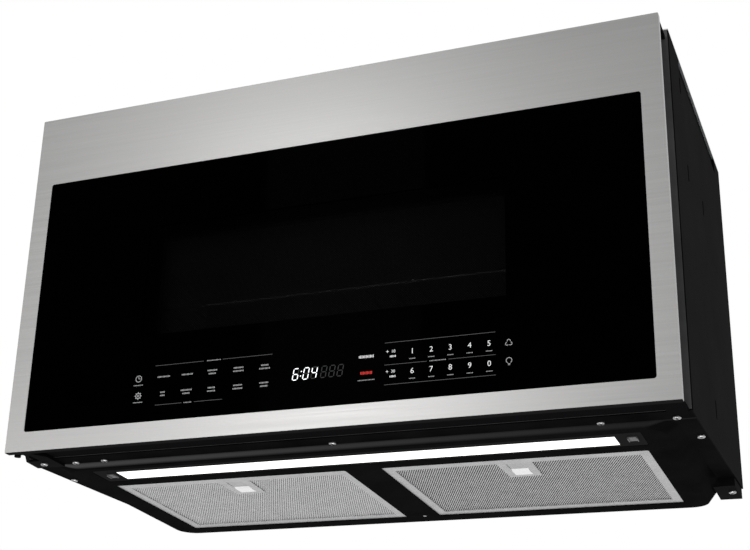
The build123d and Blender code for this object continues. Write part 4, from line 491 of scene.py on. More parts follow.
@dataclass(frozen=True)
class GlowingPlastic(Finish):
    """Frosted plastic lit from behind."""

    colour: Colour = (0.95, 0.95, 0.93)
    glow: Colour = (1.0, 0.99, 0.97)
    strength: float = 1.0

    def dress(self, bench: MaterialBench) -> None:
        """Frosted white with a fine texture and its own light."""
        frost = bench.noise(700.0)
        bench.shades(frost, self.colour, 0.95, 1.0)
        bench.roughness(bench.span(frost, 0.35, 0.6))
        bench.bump(frost, 0.00005, 0.4)
        bench.set(Emission_Color=(*self.glow, 1.0), Emission_Strength=self.strength)


@dataclass(frozen=True)
class CircuitBoard(Finish):
    """Lacquered circuit board with its copper tracks showing through."""

    colour: Colour = (0.02, 0.13, 0.05)

    def dress(self, bench: MaterialBench) -> None:
        """Track pattern in colour and relief."""
        lines = bench.span(bench.cells(260.0), 0.0, 1.0, 0.42, 0.5)
        bench.colour(bench.tint(lines, self.colour, shaded(self.colour, 2.2, 0.01)))
        bench.roughness(bench.span(lines, 0.28, 0.42))
        bench.bump(lines, 0.00006, 0.6)


@dataclass(frozen=True)
class ClearGlass(Finish):
    """Pressed clear glass with a faint green edge."""

    def dress(self, bench: MaterialBench) -> None:
        """Clear glass with slow waves and wiping marks."""
        waves = bench.noise(30.0, 2.0)
        bench.colour(bench.tint(waves, (0.80, 0.88, 0.85), (0.90, 0.95, 0.93)))
        bench.roughness(bench.span(waves, 0.02, 0.09))
        bench.bump(waves, 0.0001, 0.3)
        bench.set(Transmission_Weight=0.9, IOR=1.5)


@dataclass(frozen=True)
class Chrome(Finish):
    """Bright plated wire."""

    colour: Colour = (0.62, 0.62, 0.63)

    def dress(self, bench: MaterialBench) -> None:
        """Mirror plating with faint stains."""
        stains = bench.noise(120.0, 4.0)
        bench.shades(stains, self.colour, 0.85, 1.1)
        bench.roughness(bench.span(stains, 0.08, 0.2))
        bench.set(Metallic=1.0)


@dataclass(frozen=True)
class Laminations(Finish):
    """Stacked steel sheets of a motor or transformer."""

    colour: Colour = (0.26, 0.27, 0.28)
    sheet: float = 0.0007

    def dress(self, bench: MaterialBench) -> None:
        """Fine lines of the stack over varnished steel."""
        inputs = {"Vector": bench.place(1.0), "Scale": 0.5 / self.sheet / math.pi, "Distortion": 0.4}
        wave = bench.node("ShaderNodeTexWave", inputs, bands_direction="X").outputs["Fac"]
        varnish = bench.noise(40.0)
        value = bench.calculate("ADD", bench.span(wave, 0.0, 0.4), bench.span(varnish, 0.0, 0.6))
        bench.shades(value, self.colour, 0.7, 1.25)
        bench.roughness(bench.span(varnish, 0.35, 0.55))
        bench.bump(wave, 0.00008, 0.5)
        bench.set(Metallic=0.8)


@dataclass(frozen=True)
class Granules(Finish):
    """Loose carbon grains held in a cassette."""

    colour: Colour = (0.02, 0.02, 0.02)

    def dress(self, bench: MaterialBench) -> None:
        """Rounded grains in relief."""
        grains = bench.cells(420.0)
        bench.shades(grains, self.colour, 2.2, 0.4)
        bench.roughness(bench.span(grains, 0.55, 0.85))
        bench.bump(grains, 0.001, 0.9)


@dataclass(frozen=True)
class MicaSheet(Finish):
    """Pressed mica with its flakes."""

    colour: Colour = (0.50, 0.45, 0.34)

    def dress(self, bench: MaterialBench) -> None:
        """Overlapping flakes of slightly different gloss."""
        flakes = bench.flakes(180.0)
        bench.shades(flakes, self.colour, 0.8, 1.2)
        bench.roughness(bench.span(flakes, 0.3, 0.6))
        bench.bump(flakes, 0.0001, 0.4)


@dataclass(frozen=True)
class PrintedInk(Finish):
    """Pale ink or lit segments on the touch panel."""

    colour: Colour = (0.45, 0.45, 0.45)
    glow: float = 0.0

    def dress(self, bench: MaterialBench) -> None:
        """Slightly uneven ink with a glow: a painted glow on printed marks and dark bars, real light on lit
        segments.
        """
        dots = bench.noise(1800.0, 2.0)
        bench.shades(dots, self.colour, 0.85, 1.0)
        bench.roughness(bench.span(dots, 0.45, 0.6))
        bench.set(Specular_IOR_Level=0.1)
        # The glow is painted light on the printed marks and dark bars; on the lit segments it is real light.
        if self.glow > 0.0:
            bench.set(Emission_Color=(*self.colour, 1.0), Emission_Strength=self.glow)


# The door's stainless gets painted shade under its bottom return.
STAINLESS = BrushedSteel("stainless_door", shade_below=0.0022)
BLACK_PAINT = PaintedSteel("black_painted_steel", (0.005, 0.005, 0.0055))
# The pan's paint has a painted highlight along its front bead.
PAN_PAINT = PaintedSteel("black_pan_paint", (0.0028, 0.0028, 0.003), 0.38, 0.015, 900.0,
                         painted_highlight_y=(-0.12985, 0.0021))
FLANGE_PAINT = PaintedSteel("black_flange_paint", (0.095, 0.095, 0.096), 0.42, 0.04)
GALVANISED = GalvanisedSteel("galvanised_sheet")
ENAMEL = OvenEnamel("oven_enamel")
DOOR_PLASTIC = MouldedPlastic("door_plastic", (0.004, 0.004, 0.0045), 0.42, 0.0, 0.015)
BLACK_PLASTIC = MouldedPlastic("black_plastic")
WHITE_NYLON = MouldedPlastic("white_nylon", (0.72, 0.71, 0.67), 0.5, 0.4, 0.0)
GREY_PLASTIC = MouldedPlastic("grey_plastic", (0.10, 0.10, 0.105), 0.4, 0.4, 0.0)
DOOR_GLASS = DoorGlass("door_glass")
SCREEN = PerforatedSteel("window_screen")
CHOKE_STEEL = PaintedSteel("choke_steel", (0.012, 0.012, 0.012), 0.4, 0.05)
FRAME_ALUMINIUM = RolledAluminium("filter_frame_aluminium", (0.68, 0.68, 0.69))
STRAND_ALUMINIUM = RolledAluminium("filter_strand_aluminium", (0.85, 0.85, 0.86), 0.4, Grain.EVEN)
TAB_COLOUR = (0.62, 0.62, 0.63)
PAD_ALUMINIUM = LayeredMesh("filter_pad_layers")
ZINC_SCREW = BrushedSteel("zinc_screw", (0.62, 0.62, 0.62), 0.3, Grain.EVEN)
LENS_GLOW = GlowingPlastic("lamp_lens_glow", strength=1.1)
OVEN_LAMP = GlowingPlastic("oven_lamp_cap", (0.8, 0.78, 0.7), (1.0, 0.9, 0.7), 0.0)
BOARD = CircuitBoard("circuit_board")
CLEAR_GLASS = ClearGlass("tray_glass")
RACK_CHROME = Chrome("rack_chrome")
LAMINATED = Laminations("motor_laminations")
HEATER_SHEATH = BrushedSteel("heater_sheath", (0.20, 0.18, 0.16), 0.45, Grain.EVEN)
SPRING_WIRE = BrushedSteel("spring_wire", (0.5, 0.5, 0.5), 0.3, Grain.EVEN)
CHARCOAL = Granules("carbon_grains")
MICA = MicaSheet("mica_sheet")
# The printed inks and the dark bars get a painted glow; only the lit segments give real light.
INK = PrintedInk("panel_ink", (0.42, 0.42, 0.42), 0.25)
BRIGHT_INK = PrintedInk("start_ink", (0.75, 0.75, 0.75), 0.35)
RULE_INK = PrintedInk("rule_ink", (0.12, 0.12, 0.12), 0.2)
RED_INK = PrintedInk("stop_ink", (0.62, 0.035, 0.03), 0.5)
LIT_SEGMENT = PrintedInk("lit_segment", (0.95, 0.97, 1.0), 1.0)
DARK_SEGMENT = PrintedInk("dark_segment", (0.035, 0.035, 0.037), 0.1)


# ---------------------------------------------------------------- mesh making
def add_object(name: str, data: Optional[bpy.types.ID]) -> bpy.types.Object:
    """Adds an object with the given data to the scene."""
    made = bpy.data.objects.new(name, data)
    bpy.context.scene.collection.objects.link(made)
    return made


class Sketch:
    """A mesh under construction, in metres."""

    def __init__(self) -> None:
        """Starts an empty mesh."""
        self.mesh = bmesh.new()

    def prism(self, outline: Sequence[Point], axis: str, low: float, high: float) -> None:
        """Adds a closed prism over a flat outline.

        Args:
            outline: corners in the two axes beside the given one, in the order X, Y, Z.
            axis: X, Y or Z, the direction of its thickness.
            low: where it begins along that axis.
            high: where it ends.
        """
        corners = list(outline) if self.area(outline) > 0 else list(reversed(outline))
        position = "XYZ".index(axis)
        near, far = (
            [self.mesh.verts.new((*corner[:position], level, *corner[position:])) for corner in corners]
            for level in (low, high)
        )
        self.mesh.faces.new(list(reversed(near)))
        self.mesh.faces.new(far)
        for number, corner in enumerate(near):
            after = (number + 1) % len(near)
            self.mesh.faces.new((corner, near[after], far[after], far[number]))

    @staticmethod
    def area(outline: Sequence[Point]) -> float:
        """Signed area of a flat outline."""
        following = list(outline[1:]) + [outline[0]]
        return sum(ax * by - bx * ay for (ax, ay), (bx, by) in zip(outline, following)) / 2

    def bar(self, middle: Point, size: Point, axis: str, low: float, high: float) -> None:
        """Adds a rectangular prism round a middle point."""
        left, right = middle[0] - size[0] / 2, middle[0] + size[0] / 2
        bottom, top = middle[1] - size[1] / 2, middle[1] + size[1] / 2
        self.prism([(left, bottom), (right, bottom), (right, top), (left, top)], axis, low, high)

    def band(self, middle: Point, inner: float, outer: float, axis: str, low: float, high: float,
             steps: int = 24, start: float = 0.0, turn: float = FULL_TURN) -> None:
        """Adds a flat ring or arc as short prisms.

        Args:
            middle: centre in the flat axes.
            inner: inner radius.
            outer: outer radius.
            axis: direction of its thickness.
            low: where it begins along that axis.
            high: where it ends.
            steps: number of pieces.
            start: first angle.
            turn: angle that it covers.
        """
        for number in range(steps):
            first = start + turn * number / steps
            last = start + turn * (number + 1) / steps
            outline = [
                (middle[0] + radius * math.cos(angle), middle[1] + radius * math.sin(angle))
                for radius, angle in ((inner, first), (outer, first), (outer, last), (inner, last))
            ]
            self.prism(outline, axis, low, high)

    def piece(self, name: str, finish: Finish, body: str, slot: str) -> bpy.types.Object:
        """Turns the mesh into a finished piece that rides on a body.

        Args:
            name: the piece's name.
            finish: its finish.
            body: the body that it rides on.
            slot: the record's material slot; not used.

        Returns:
            The new object.
        """
        bmesh.ops.recalc_face_normals(self.mesh, faces=self.mesh.faces)
        data = bpy.data.meshes.new(name)
        self.mesh.to_mesh(data)
        self.mesh.free()
        made = add_object(name, data)
        data.materials.append(finish.material())
        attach(made, body)
        LOG.info("%s: %d faces on %s", name, len(data.polygons), body)
        return made


def dress(finish: Finish, *nodes: str) -> None:
    """Gives CAD nodes their finish.

    Args:
        finish: the finish.
        nodes: names of the nodes that get it.
    """
    for name in nodes:
        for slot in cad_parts[name].material_slots:
            slot.material = finish.material()
        LOG.info("%s: %s", name, finish.name)


# ---------------------------------------------------------------- sub-assemblies
@dataclass
class Housing:
    """Outer sheets, base pan, brackets and screws, with the marks on their undersides: black crosses of
    painted shade in the screw recesses, and a rivet.
    """

    recess: float = 0.0034
    recess_width: float = 0.0009
    recess_depth: Point = (-0.00006, 0.0001)
    screw_cell: float = 0.012
    head_slack: float = 0.00005
    rivet: Point = (0.0025, 0.1645)
    rivet_radii: Point = (0.0004, 0.0022)
    rivet_z: Point = (-0.0003, 0.0002)

    def dress_sheets(self) -> None:
        """Gives the sheets and brackets their finishes."""
        dress(FLANGE_PAINT, "front_frame")
        dress(BLACK_PAINT, "right_side_panel", "left_side_panel", "rear_foot", "lower_hinge_bracket",
              "upper_hinge_bracket")
        dress(GALVANISED, "top_cover", "back_panel", "base_plate", "exhaust_adapter", "damper_flap")
        dress(PAN_PAINT, "base_pan")
        dress(ZINC_SCREW, "housing_screws")
        dress(BLACK_PLASTIC, "cord_bush")
        dress(CHARCOAL, "charcoal_filter")

    def screw_recess_shades(self) -> None:
        """Adds a black cross of painted shade, for the recess of each screw that is driven from below."""
        sketch = Sketch()
        screws: dict[tuple[int, int], list[Vector]] = {}
        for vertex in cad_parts["housing_screws"].data.vertices:
            key = (round(vertex.co.x / self.screw_cell), round(vertex.co.y / self.screw_cell))
            screws.setdefault(key, []).append(vertex.co)
        for screw in screws.values():
            bottom = min(co.z for co in screw)
            head = [co for co in screw if co.z < bottom + self.head_slack]
            if len(head) < 8:
                continue
            middle = (sum(co.x for co in head) / len(head), sum(co.y for co in head) / len(head))
            low, high = (bottom + depth for depth in self.recess_depth)
            for size in ((self.recess, self.recess_width), (self.recess_width, self.recess)):
                sketch.bar(middle, size, "Z", low, high)
        sketch.piece("screw_recess_shades", BLACK_PLASTIC, "housing", "black_plastic")

    def centre_rivet(self) -> None:
        """Adds the bright rivet on the rib between the filters."""
        sketch = Sketch()
        sketch.band(self.rivet, *self.rivet_radii, "Z", *self.rivet_z, steps=16)
        sketch.piece("centre_rivet", ZINC_SCREW, "housing", "bright_steel")

    def build(self) -> None:
        """Builds and dresses the housing."""
        self.dress_sheets()
        self.screw_recess_shades()
        self.centre_rivet()


@dataclass
class CooktopLight:
    """Light bar of the underside."""

    clips: tuple[Point, ...] = ((-0.297, -0.095), (0.31, -0.097))
    clip_size: Point = (0.009, 0.013)
    clip_z: Point = (-0.0006, 0.0006)
    rib_width: float = 0.0012
    rib_share: float = 0.9
    rib_z: Point = (-0.0016, 0.0005)

    def build(self) -> None:
        """Dresses the lamp and adds its two grey clips."""
        dress(BLACK_PLASTIC, "lamp_holder")
        dress(LENS_GLOW, "lamp_lens")
        dress(BOARD, "lamp_board")
        sketch = Sketch()
        width, length = self.clip_size
        for x, y in self.clips:
            sketch.bar((x, y), self.clip_size, "Z", *self.clip_z)
            for edge in (x - width / 2, x + width / 2):
                sketch.bar((edge, y), (self.rib_width, length * self.rib_share), "Z", *self.rib_z)
        sketch.piece("lamp_clips", GREY_PLASTIC, "housing", "lamp_black")


@dataclass
class GreaseFilter:
    """One aluminium grease filter with its mesh made of crossing strands."""

    side: str
    pitch: float
    strand: float
    rear_strand: float
    lean: float = 2.3
    thickness: float = 0.0004
    margin: float = 0.0005
    lift: float = 0.0001

    @property
    def prefix(self) -> str:
        """Name of the filter's body, with which the names of its nodes start."""
        return f"{self.side}_filter"

    def clipped(self, window: Window, offset: float, slope: float) -> Optional[list[Point]]:
        """Ends of the line y = slope * x + offset inside a window.

        Args:
            window: low x, high x, low y and high y.
            offset: height of the line at x zero.
            slope: rise of the line.

        Returns:
            The two ends, or None where the line misses the window.
        """
        x0, x1, y0, y1 = window
        crossings = sorted(((y0 - offset) / slope, (y1 - offset) / slope))
        left, right = max(x0, crossings[0]), min(x1, crossings[1])
        if right - left < 0.001:
            return None
        return [(left, slope * left + offset), (right, slope * right + offset)]

    def strands(self, sketch: Sketch, window: Window, slope: float, level: float, width: float) -> None:
        """Adds one family of parallel strands.

        Args:
            sketch: the mesh to add to.
            window: low x, high x, low y and high y.
            slope: rise of the strands.
            level: height of the family's underside.
            width: width of a strand.
        """
        x0, x1, y0, y1 = window
        corners = [y - slope * x for x in (x0, x1) for y in (y0, y1)]
        reach = math.hypot(1.0, slope)
        step = self.pitch * reach
        half = width / 2
        count = int((max(corners) - min(corners)) / step)
        for number in range(1, count):
            ends = self.clipped(window, min(corners) + number * step, slope)
            if ends is None:
                continue
            (ax, ay), (bx, by) = ends
            nx, ny = -slope / reach * half, half / reach
            outline = [(ax - nx, ay - ny), (bx - nx, by - ny), (bx + nx, by + ny), (ax + nx, ay + ny)]
            sketch.prism(outline, "Z", level, level + self.thickness)

    def build(self) -> None:
        """Dresses the frame and replaces the plain pad by strands and a layered backing."""
        front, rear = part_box(f"{self.prefix}_tab")
        tab = HighlightedTab(f"{self.side}_tab", TAB_COLOUR, 0.3, Grain.ALONG_Y, (front.y + rear.y) / 2)
        dress(FRAME_ALUMINIUM, f"{self.prefix}_frame")
        dress(tab, f"{self.prefix}_tab")
        low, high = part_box(f"{self.prefix}_mesh")
        window = (low.x + self.margin, high.x - self.margin, low.y + self.margin, high.y - self.margin)
        lattice = Sketch()
        level = low.z + self.lift
        self.strands(lattice, window, -self.lean, level, self.strand)
        self.strands(lattice, window, self.lean, level + self.thickness, self.rear_strand)
        strands = lattice.piece(f"{self.prefix}_strands", STRAND_ALUMINIUM, self.prefix, "filter_mesh")
        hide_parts(f"{self.prefix}_mesh")
        # The layered backing carries painted shade for the layers deep inside.
        backing = Sketch()
        middle = ((low.x + high.x) / 2, (low.y + high.y) / 2)
        backing.bar(middle, (high.x - low.x, high.y - low.y), "Z", level + 4.0 * self.thickness, high.z)
        backing.piece(f"{self.prefix}_layers", PAD_ALUMINIUM, self.prefix, "filter_mesh")


@dataclass
class Oven:
    """Cavity, turntable, rack and what feeds them."""

    def build(self) -> None:
        """Dresses the oven's nodes."""
        dress(ENAMEL, "oven_cavity", "convection_cover")
        dress(MICA, "waveguide_cover")
        dress(OVEN_LAMP, "oven_lamp")
        dress(LAMINATED, "turntable_motor", "convection_motor", "magnetron")
        dress(WHITE_NYLON, "turntable_coupler", "roller_1", "roller_2", "roller_3", "magnetron_fan",
              "interlock_bracket")
        dress(BLACK_PLASTIC, "roller_ring", "magnetron_fan_housing", "interlock_switches")
        dress(CLEAR_GLASS, "glass_tray")
        dress(RACK_CHROME, "wire_rack")
        dress(GALVANISED, "convection_housing", "convection_fan")
        dress(HEATER_SHEATH, "convection_heater")
        dress(BOARD, "inverter_board", "relay_board")


@dataclass
class VentBlower:
    """Blower over the oven."""

    def build(self) -> None:
        """Dresses the blower's nodes."""
        dress(GALVANISED, "vent_blower_housing")
        dress(LAMINATED, "vent_blower_motor")
        dress(SPRING_WIRE, "blower_shaft")
        dress(BLACK_PLASTIC, "blower_wheels")


@dataclass
class Door:
    """Door with its glass, screen, inner panel and latch."""

    def build(self) -> None:
        """Dresses the door's nodes."""
        dress(STAINLESS, "door_frame")
        dress(DOOR_GLASS, "door_glass")
        dress(DOOR_PLASTIC, "door_body")
        dress(CHOKE_STEEL, "choke_panel")
        dress(BLACK_PLASTIC, "choke_cover")
        dress(SCREEN, "door_screen")
        dress(BOARD, "touch_board")
        dress(WHITE_NYLON, "latch_hooks")
        dress(SPRING_WIRE, "latch_spring")


SEGMENTS: dict[str, str] = {
    "0": "abcdef", "1": "bc", "2": "abdeg", "3": "abcdg", "4": "bcfg",
    "5": "acdfg", "6": "acdefg", "7": "abc", "8": "abcdefg", "9": "abcdfg",
}


@dataclass(frozen=True)
class PrintLine:
    """A line of ticks printed on the glass, with its middle and size in millimetres."""

    x: float
    z: float
    width: float
    height: float = 1.7


COOKING_LINES = (
    PrintLine(-211.0, 68.4, 12.0, 1.0), PrintLine(-210.0, 48.4, 12.0, 1.0),
    PrintLine(-119.0, 89.5, 17.0, 1.1), PrintLine(-148.0, 43.5, 10.0, 1.1),
)
START_LINE = PrintLine(58.7, 76.0, 17.0, 3.2)
STOP_LINE = PrintLine(59.0, 58.0, 13.5, 3.2)
SMALL_LINES = (PrintLine(59.0, 50.2, 19.0, 1.0), PrintLine(136.5, 64.6, 18.0, 1.0))
SECOND_LINES = (PrintLine(88.0, 73.6, 7.0, 2.2), PrintLine(88.0, 51.6, 7.0, 2.2))
RULES = (
    (-191.0, -131.0, 89.5), (-108.0, -49.0, 89.5), (-188.0, -155.0, 43.5), (-140.0, -106.0, 43.5),
    (79.0, 125.0, 64.6), (148.0, 197.3, 64.6), (79.0, 197.3, 43.0), (79.0, 197.3, 89.0),
)
PLUS_MARKS = (("+", 82.0, 79.0, 6.0), ("+", 82.0, 57.0, 6.0), ("10", 88.5, 79.0, 4.6), ("30", 88.5, 57.0, 4.6))


@dataclass
class TouchPanel:
    """Printed marks and the clock display on the door glass. Places and sizes are in millimetres."""

    ink: float = 0.05
    sunk: float = 0.02
    label_x: tuple[float, ...] = (-179.6, -150.5, -120.0, -88.5, -57.5)
    label_z: Point = (76.0, 56.0)
    label_lines: tuple[tuple[int, ...], ...] = (
        (16,), (14,), (12, 9), (12, 13), (9, 13), (6, 6), (14, 9), (9, 10), (11, 12), (11, 9),
    )
    line_pitch: float = 3.8
    tick_pitch: float = 1.55
    tick_width: float = 0.82
    low_tick: float = 0.82
    rule_width: float = 0.38
    clock_icon: Point = (-211.0, 76.0)
    gear_icon: Point = (-210.0, 56.0)
    fan_icon: Point = (211.0, 76.0)
    bulb_icon: Point = (211.0, 57.2)
    digit_x: tuple[float, ...] = (109.2, 129.6, 149.9, 170.3, 190.6)
    digit_z: Point = (77.2, 55.6)
    digit_size: float = 8.4
    clock_text: str = "6:04"
    clock_x: float = -24.6
    clock_z: Point = (57.5, 70.0)
    clock_pitch: float = 9.3
    clock_lean: float = 0.16
    segment_width: float = 5.6
    segment_thick: float = 1.0
    colon_z: Point = (61.5, 66.5)

    def __post_init__(self) -> None:
        """Finds the glass's front."""
        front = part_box("door_glass")[0].y
        self.low = front - self.ink * MM
        self.high = front + self.sunk * MM

    def bar(self, sketch: Sketch, x: float, z: float, width: float, height: float) -> None:
        """Adds a flat bar round a place on the glass."""
        sketch.bar((x * MM, z * MM), (width * MM, height * MM), "Y", self.low, self.high)

    def ring(self, sketch: Sketch, x: float, z: float, radius: float, width: float,
             start: float = 0.0, turn: float = FULL_TURN) -> None:
        """Adds a thin ring or arc round a place on the glass."""
        inner, outer = (radius - width / 2) * MM, (radius + width / 2) * MM
        sketch.band((x * MM, z * MM), inner, outer, "Y", self.low, self.high, 20, start, turn)

    def hatch(self, sketch: Sketch, line: PrintLine) -> None:
        """Adds a line of short upright ticks, of which each third is lower."""
        count = max(2, round(line.width / self.tick_pitch))
        for number in range(count):
            x = line.x - line.width / 2 + line.width * (number + 0.5) / count
            tall = line.height * (1.0 if number % 3 else self.low_tick)
            self.bar(sketch, x, line.z, self.tick_width, tall)

    def labels(self) -> None:
        """Adds the lines of the cooking keys."""
        sketch = Sketch()
        places = [(x, z) for z in self.label_z for x in self.label_x]
        for (x, z), widths in zip(places, self.label_lines):
            for line, width in enumerate(widths):
                rise = (len(widths) - 1) * self.line_pitch / 2 - line * self.line_pitch
                self.hatch(sketch, PrintLine(x, z + rise, width))
        for line in COOKING_LINES:
            self.hatch(sketch, line)
        sketch.piece("cooking_key_lines", INK, "door", "lamp_white")

    def rules(self) -> None:
        """Adds the thin rules above and below the keys."""
        sketch = Sketch()
        for left, right, z in RULES:
            self.bar(sketch, (left + right) / 2, z, right - left, self.rule_width)
        sketch.piece("key_rules", RULE_INK, "door", "lamp_white")

    def icons(self) -> None:
        """Adds the clock, gear, fan and bulb pictograms."""
        sketch = Sketch()
        x, z = self.clock_icon
        self.ring(sketch, x, z, 3.6, 0.7)
        self.bar(sketch, x, z + 1.2, 0.6, 2.6)
        self.bar(sketch, x + 1.0, z, 2.2, 0.6)
        x, z = self.gear_icon
        self.ring(sketch, x, z, 3.0, 0.7)
        self.ring(sketch, x, z, 1.1, 0.6)
        for number in range(8):
            angle = math.radians(45 * number)
            self.bar(sketch, x + 3.9 * math.cos(angle), z + 3.9 * math.sin(angle), 0.9, 0.9)
        x, z = self.fan_icon
        for number in range(3):
            angle = math.radians(90 + 120 * number)
            self.ring(sketch, x + 2.0 * math.cos(angle), z + 2.0 * math.sin(angle), 1.6, 0.6, angle - 1.9, 3.8)
        x, z = self.bulb_icon
        self.ring(sketch, x, z, 2.9, 0.6, math.radians(-60), math.radians(300))
        self.bar(sketch, x, z - 3.6, 2.6, 0.6)
        self.bar(sketch, x, z - 4.7, 1.8, 0.6)
        sketch.piece("key_icons", INK, "door", "lamp_white")

    def start_and_stop(self) -> None:
        """Adds the start and stop lines and the small lines under the number keys."""
        for name, line, ink in (("start_line", START_LINE, BRIGHT_INK), ("stop_line", STOP_LINE, RED_INK)):
            sketch = Sketch()
            self.hatch(sketch, line)
            sketch.piece(name, ink, "door", "lamp_white")
        small = Sketch()
        under = [PrintLine(x, z - 8.0, 7.0, 0.9) for x in self.digit_x for z in self.digit_z]
        for line in (*under, *SMALL_LINES):
            self.hatch(small, line)
        small.piece("small_key_lines", INK, "door", "lamp_white")

    def characters(self, text: str, x: float, z: float, size: float) -> bpy.types.Mesh:
        """Mesh of a few plain characters standing on the glass.

        Args:
            text: the characters.
            x: middle across, in millimetres.
            z: middle up, in millimetres.
            size: letter height, in millimetres.

        Returns:
            The mesh, in its place on the door.
        """
        curve = bpy.data.curves.new("numeral", "FONT")
        curve.body = text
        curve.size = size * MM
        curve.align_x = "CENTER"
        curve.align_y = "CENTER"
        curve.extrude = self.ink * MM / 2
        curve.resolution_u = 3
        holder = add_object("numeral", curve)
        bpy.context.view_layer.update()
        data = bpy.data.meshes.new_from_object(holder.evaluated_get(bpy.context.evaluated_depsgraph_get()))
        for vertex in data.vertices:
            across, up, out = vertex.co
            vertex.co = (across + x * MM, (self.low + self.high) / 2 - out, up + z * MM)
        bpy.data.objects.remove(holder)
        bpy.data.curves.remove(curve)
        return data

    def digits(self) -> None:
        """Adds the number keys."""
        sketch = Sketch()
        places = [(x, z) for z in self.digit_z for x in self.digit_x]
        marks = [(text, x, z, self.digit_size) for text, (x, z) in zip("1234567890", places)]
        for text, x, z, size in (*marks, *PLUS_MARKS):
            data = self.characters(text, x, z, size)
            sketch.mesh.from_mesh(data)
            bpy.data.meshes.remove(data)
        for line in SECOND_LINES:
            self.hatch(sketch, line)
        sketch.piece("number_keys", BRIGHT_INK, "door", "lamp_white")

    def segment(self, sketch: Sketch, letter: str, x: float) -> None:
        """Adds one bar of a seven bar digit.

        Args:
            sketch: the mesh to add to.
            letter: the bar's letter, a to g.
            x: left of the digit.
        """
        low, high = self.clock_z
        middle = (low + high) / 2
        width, thick = self.segment_width, self.segment_thick
        half = thick / 2
        flat = {"a": high, "d": low, "g": middle}
        if letter in flat:
            z = flat[letter]
            ends = [(x + half, z), (x + thick, z + half), (x + width - thick, z + half),
                    (x + width - half, z), (x + width - thick, z - half), (x + thick, z - half)]
        else:
            left = x if letter in "ef" else x + width
            bottom, top = (middle, high) if letter in "bf" else (low, middle)
            ends = [(left, bottom + half), (left + half, bottom + thick), (left + half, top - thick),
                    (left, top - half), (left - half, top - thick), (left - half, bottom + thick)]
        outline = [((px + (pz - low) * self.clock_lean) * MM, pz * MM) for px, pz in ends]
        sketch.prism(outline, "Y", self.low, self.high)

    def clock(self) -> None:
        """Adds the lit time and the dark bars beside it."""
        lit, dark = Sketch(), Sketch()
        x = self.clock_x
        for mark in self.clock_text:
            if mark == ":":
                for z in self.colon_z:
                    self.bar(lit, x + (z - self.clock_z[0]) * self.clock_lean - 0.4, z, 1.2, 1.2)
                x += 2.6
                continue
            for letter in "abcdefg":
                self.segment(lit if letter in SEGMENTS[mark] else dark, letter, x)
            x += self.clock_pitch
        for number in range(3):
            for letter in "abcdefg":
                self.segment(dark, letter, x + 1.6 + number * self.clock_pitch)
        lit.piece("clock_lit_bars", LIT_SEGMENT, "door", "lamp_white")
        dark.piece("clock_dark_bars", DARK_SEGMENT, "door", "black_plastic")

    def build(self) -> None:
        """Builds every mark on the glass."""
        self.labels()
        self.rules()
        self.icons()
        self.start_and_stop()
        self.digits()
        self.clock()


# ---------------------------------------------------------------- studio
@dataclass(frozen=True)
class SoftBox:
    """A rectangular soft light, with its power in watts."""

    name: str
    place: Place
    aim: Place
    size: Point
    power: float

    def build(self) -> None:
        """Adds the light, turned to the point that it faces."""
        data = bpy.data.lights.new(self.name, "AREA")
        data.shape = "RECTANGLE"
        data.size, data.size_y = self.size
        data.energy = self.power
        holder = add_object(self.name, data)
        holder.location = self.place
        holder.rotation_mode = "QUATERNION"
        holder.rotation_quaternion = (Vector(self.aim) - Vector(self.place)).to_track_quat("-Z", "Y")


SOFT_BOXES = (
    SoftBox("front_box", (-1.08, -3.0, 1.15), (0.0, -0.2, 0.2), (0.5, 1.6), 20.0),
    SoftBox("left_box", (-2.3, -3.0, 0.7), (0.0, -0.2, 0.2), (0.5, 0.5), 4.0),
    SoftBox("low_box", (0.2, -0.8, -2.6), (0.0, 0.0, 0.0), (2.0, 1.6), 40.0),
)


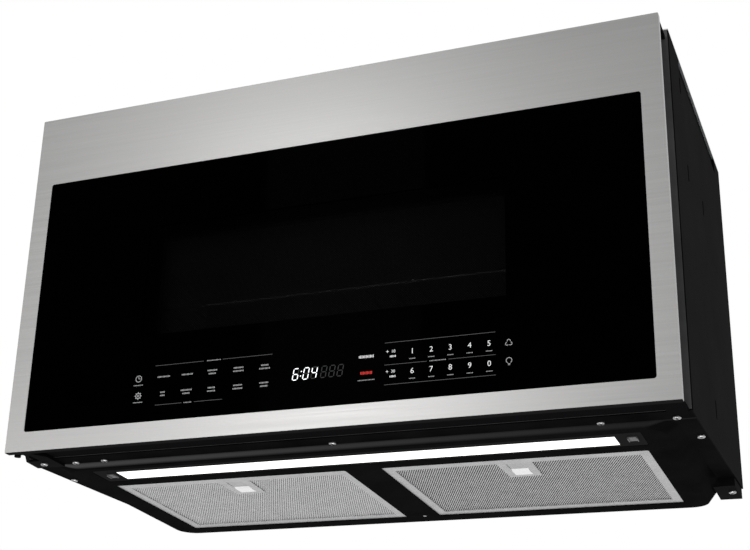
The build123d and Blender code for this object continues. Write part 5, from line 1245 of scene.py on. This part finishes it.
@dataclass
class Studio:
    """Camera, pale floor, soft light and white surroundings."""

    place: Place = (0.58376, -1.60154, -0.46216)
    turn: tuple[float, float, float, float] = (0.5322007, 0.820069, 0.1604043, 0.136087)
    lens: float = 72.4519
    sensor: float = 36.0
    shift: Point = (0.163975, -0.021866)
    floor_level: float = -3.2
    floor_reach: float = 14.0
    ambient: float = 0.55

    def camera(self) -> None:
        """Sets the camera up where the photograph was taken from."""
        data = bpy.data.cameras.new("camera")
        data.lens = self.lens
        data.sensor_width = self.sensor
        data.shift_x, data.shift_y = self.shift
        data.clip_start, data.clip_end = 0.05, 60.0
        holder = add_object("camera", data)
        holder.location = self.place
        holder.rotation_mode = "QUATERNION"
        holder.rotation_quaternion = Quaternion(self.turn)
        bpy.context.scene.camera = holder

    def floor(self) -> None:
        """Adds the pale floor far below."""
        data = bpy.data.meshes.new("studio_floor")
        reach, level = self.floor_reach, self.floor_level
        edge = [(-reach, -reach, level), (reach, -reach, level), (reach, reach, level), (-reach, reach, level)]
        data.from_pydata(edge, [], [(0, 1, 2, 3)])
        made = add_object("studio_floor", data)
        bench = MaterialBench("studio_floor")
        bench.colour(bench.tint(bench.noise(0.8), (0.80, 0.80, 0.80), (0.86, 0.86, 0.86)))
        bench.set(Roughness=0.8, Specular_IOR_Level=0.1)
        data.materials.append(bench.material)
        made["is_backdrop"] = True

    def surroundings(self) -> None:
        """White for what the camera, metal and glass see, and a plain level for the rest."""
        world = bpy.data.worlds.new("studio")
        world.use_nodes = True
        bench = NodeBench(world.node_tree)
        rays = bench.node("ShaderNodeLightPath").outputs
        seen = bench.calculate("MAXIMUM", rays["Is Camera Ray"], rays["Is Glossy Ray"])
        seen = bench.calculate("MAXIMUM", seen, rays["Is Transmission Ray"])
        inputs = {"Color": (1.0, 1.0, 1.0, 1.0), "Strength": bench.span(seen, self.ambient, 1.0)}
        background = bench.node("ShaderNodeBackground", inputs).outputs["Background"]
        bench.node("ShaderNodeOutputWorld", {"Surface": background})
        bpy.context.scene.world = world

    def build(self) -> None:
        """Builds the studio."""
        bpy.context.scene.view_settings.view_transform = "Standard"
        self.camera()
        self.floor()
        self.surroundings()
        for box in SOFT_BOXES:
            box.build()


def corners() -> list[list[float]]:
    """Lowest and highest corner of the shown object, as plain lists."""
    low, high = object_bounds()
    return [list(low), list(high)]


def main() -> None:
    """Builds the studio and every sub-assembly."""
    logging.basicConfig(level=logging.INFO, format="%(message)s")
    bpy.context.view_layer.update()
    Studio().build()
    Housing().build()
    CooktopLight().build()
    GreaseFilter("right", 0.0025, 0.00085, 0.0003).build()
    GreaseFilter("left", 0.0023, 0.00115, 0.00075).build()
    Oven().build()
    VentBlower().build()
    Door().build()
    TouchPanel().build()


if __name__ == "__main__":
    main()
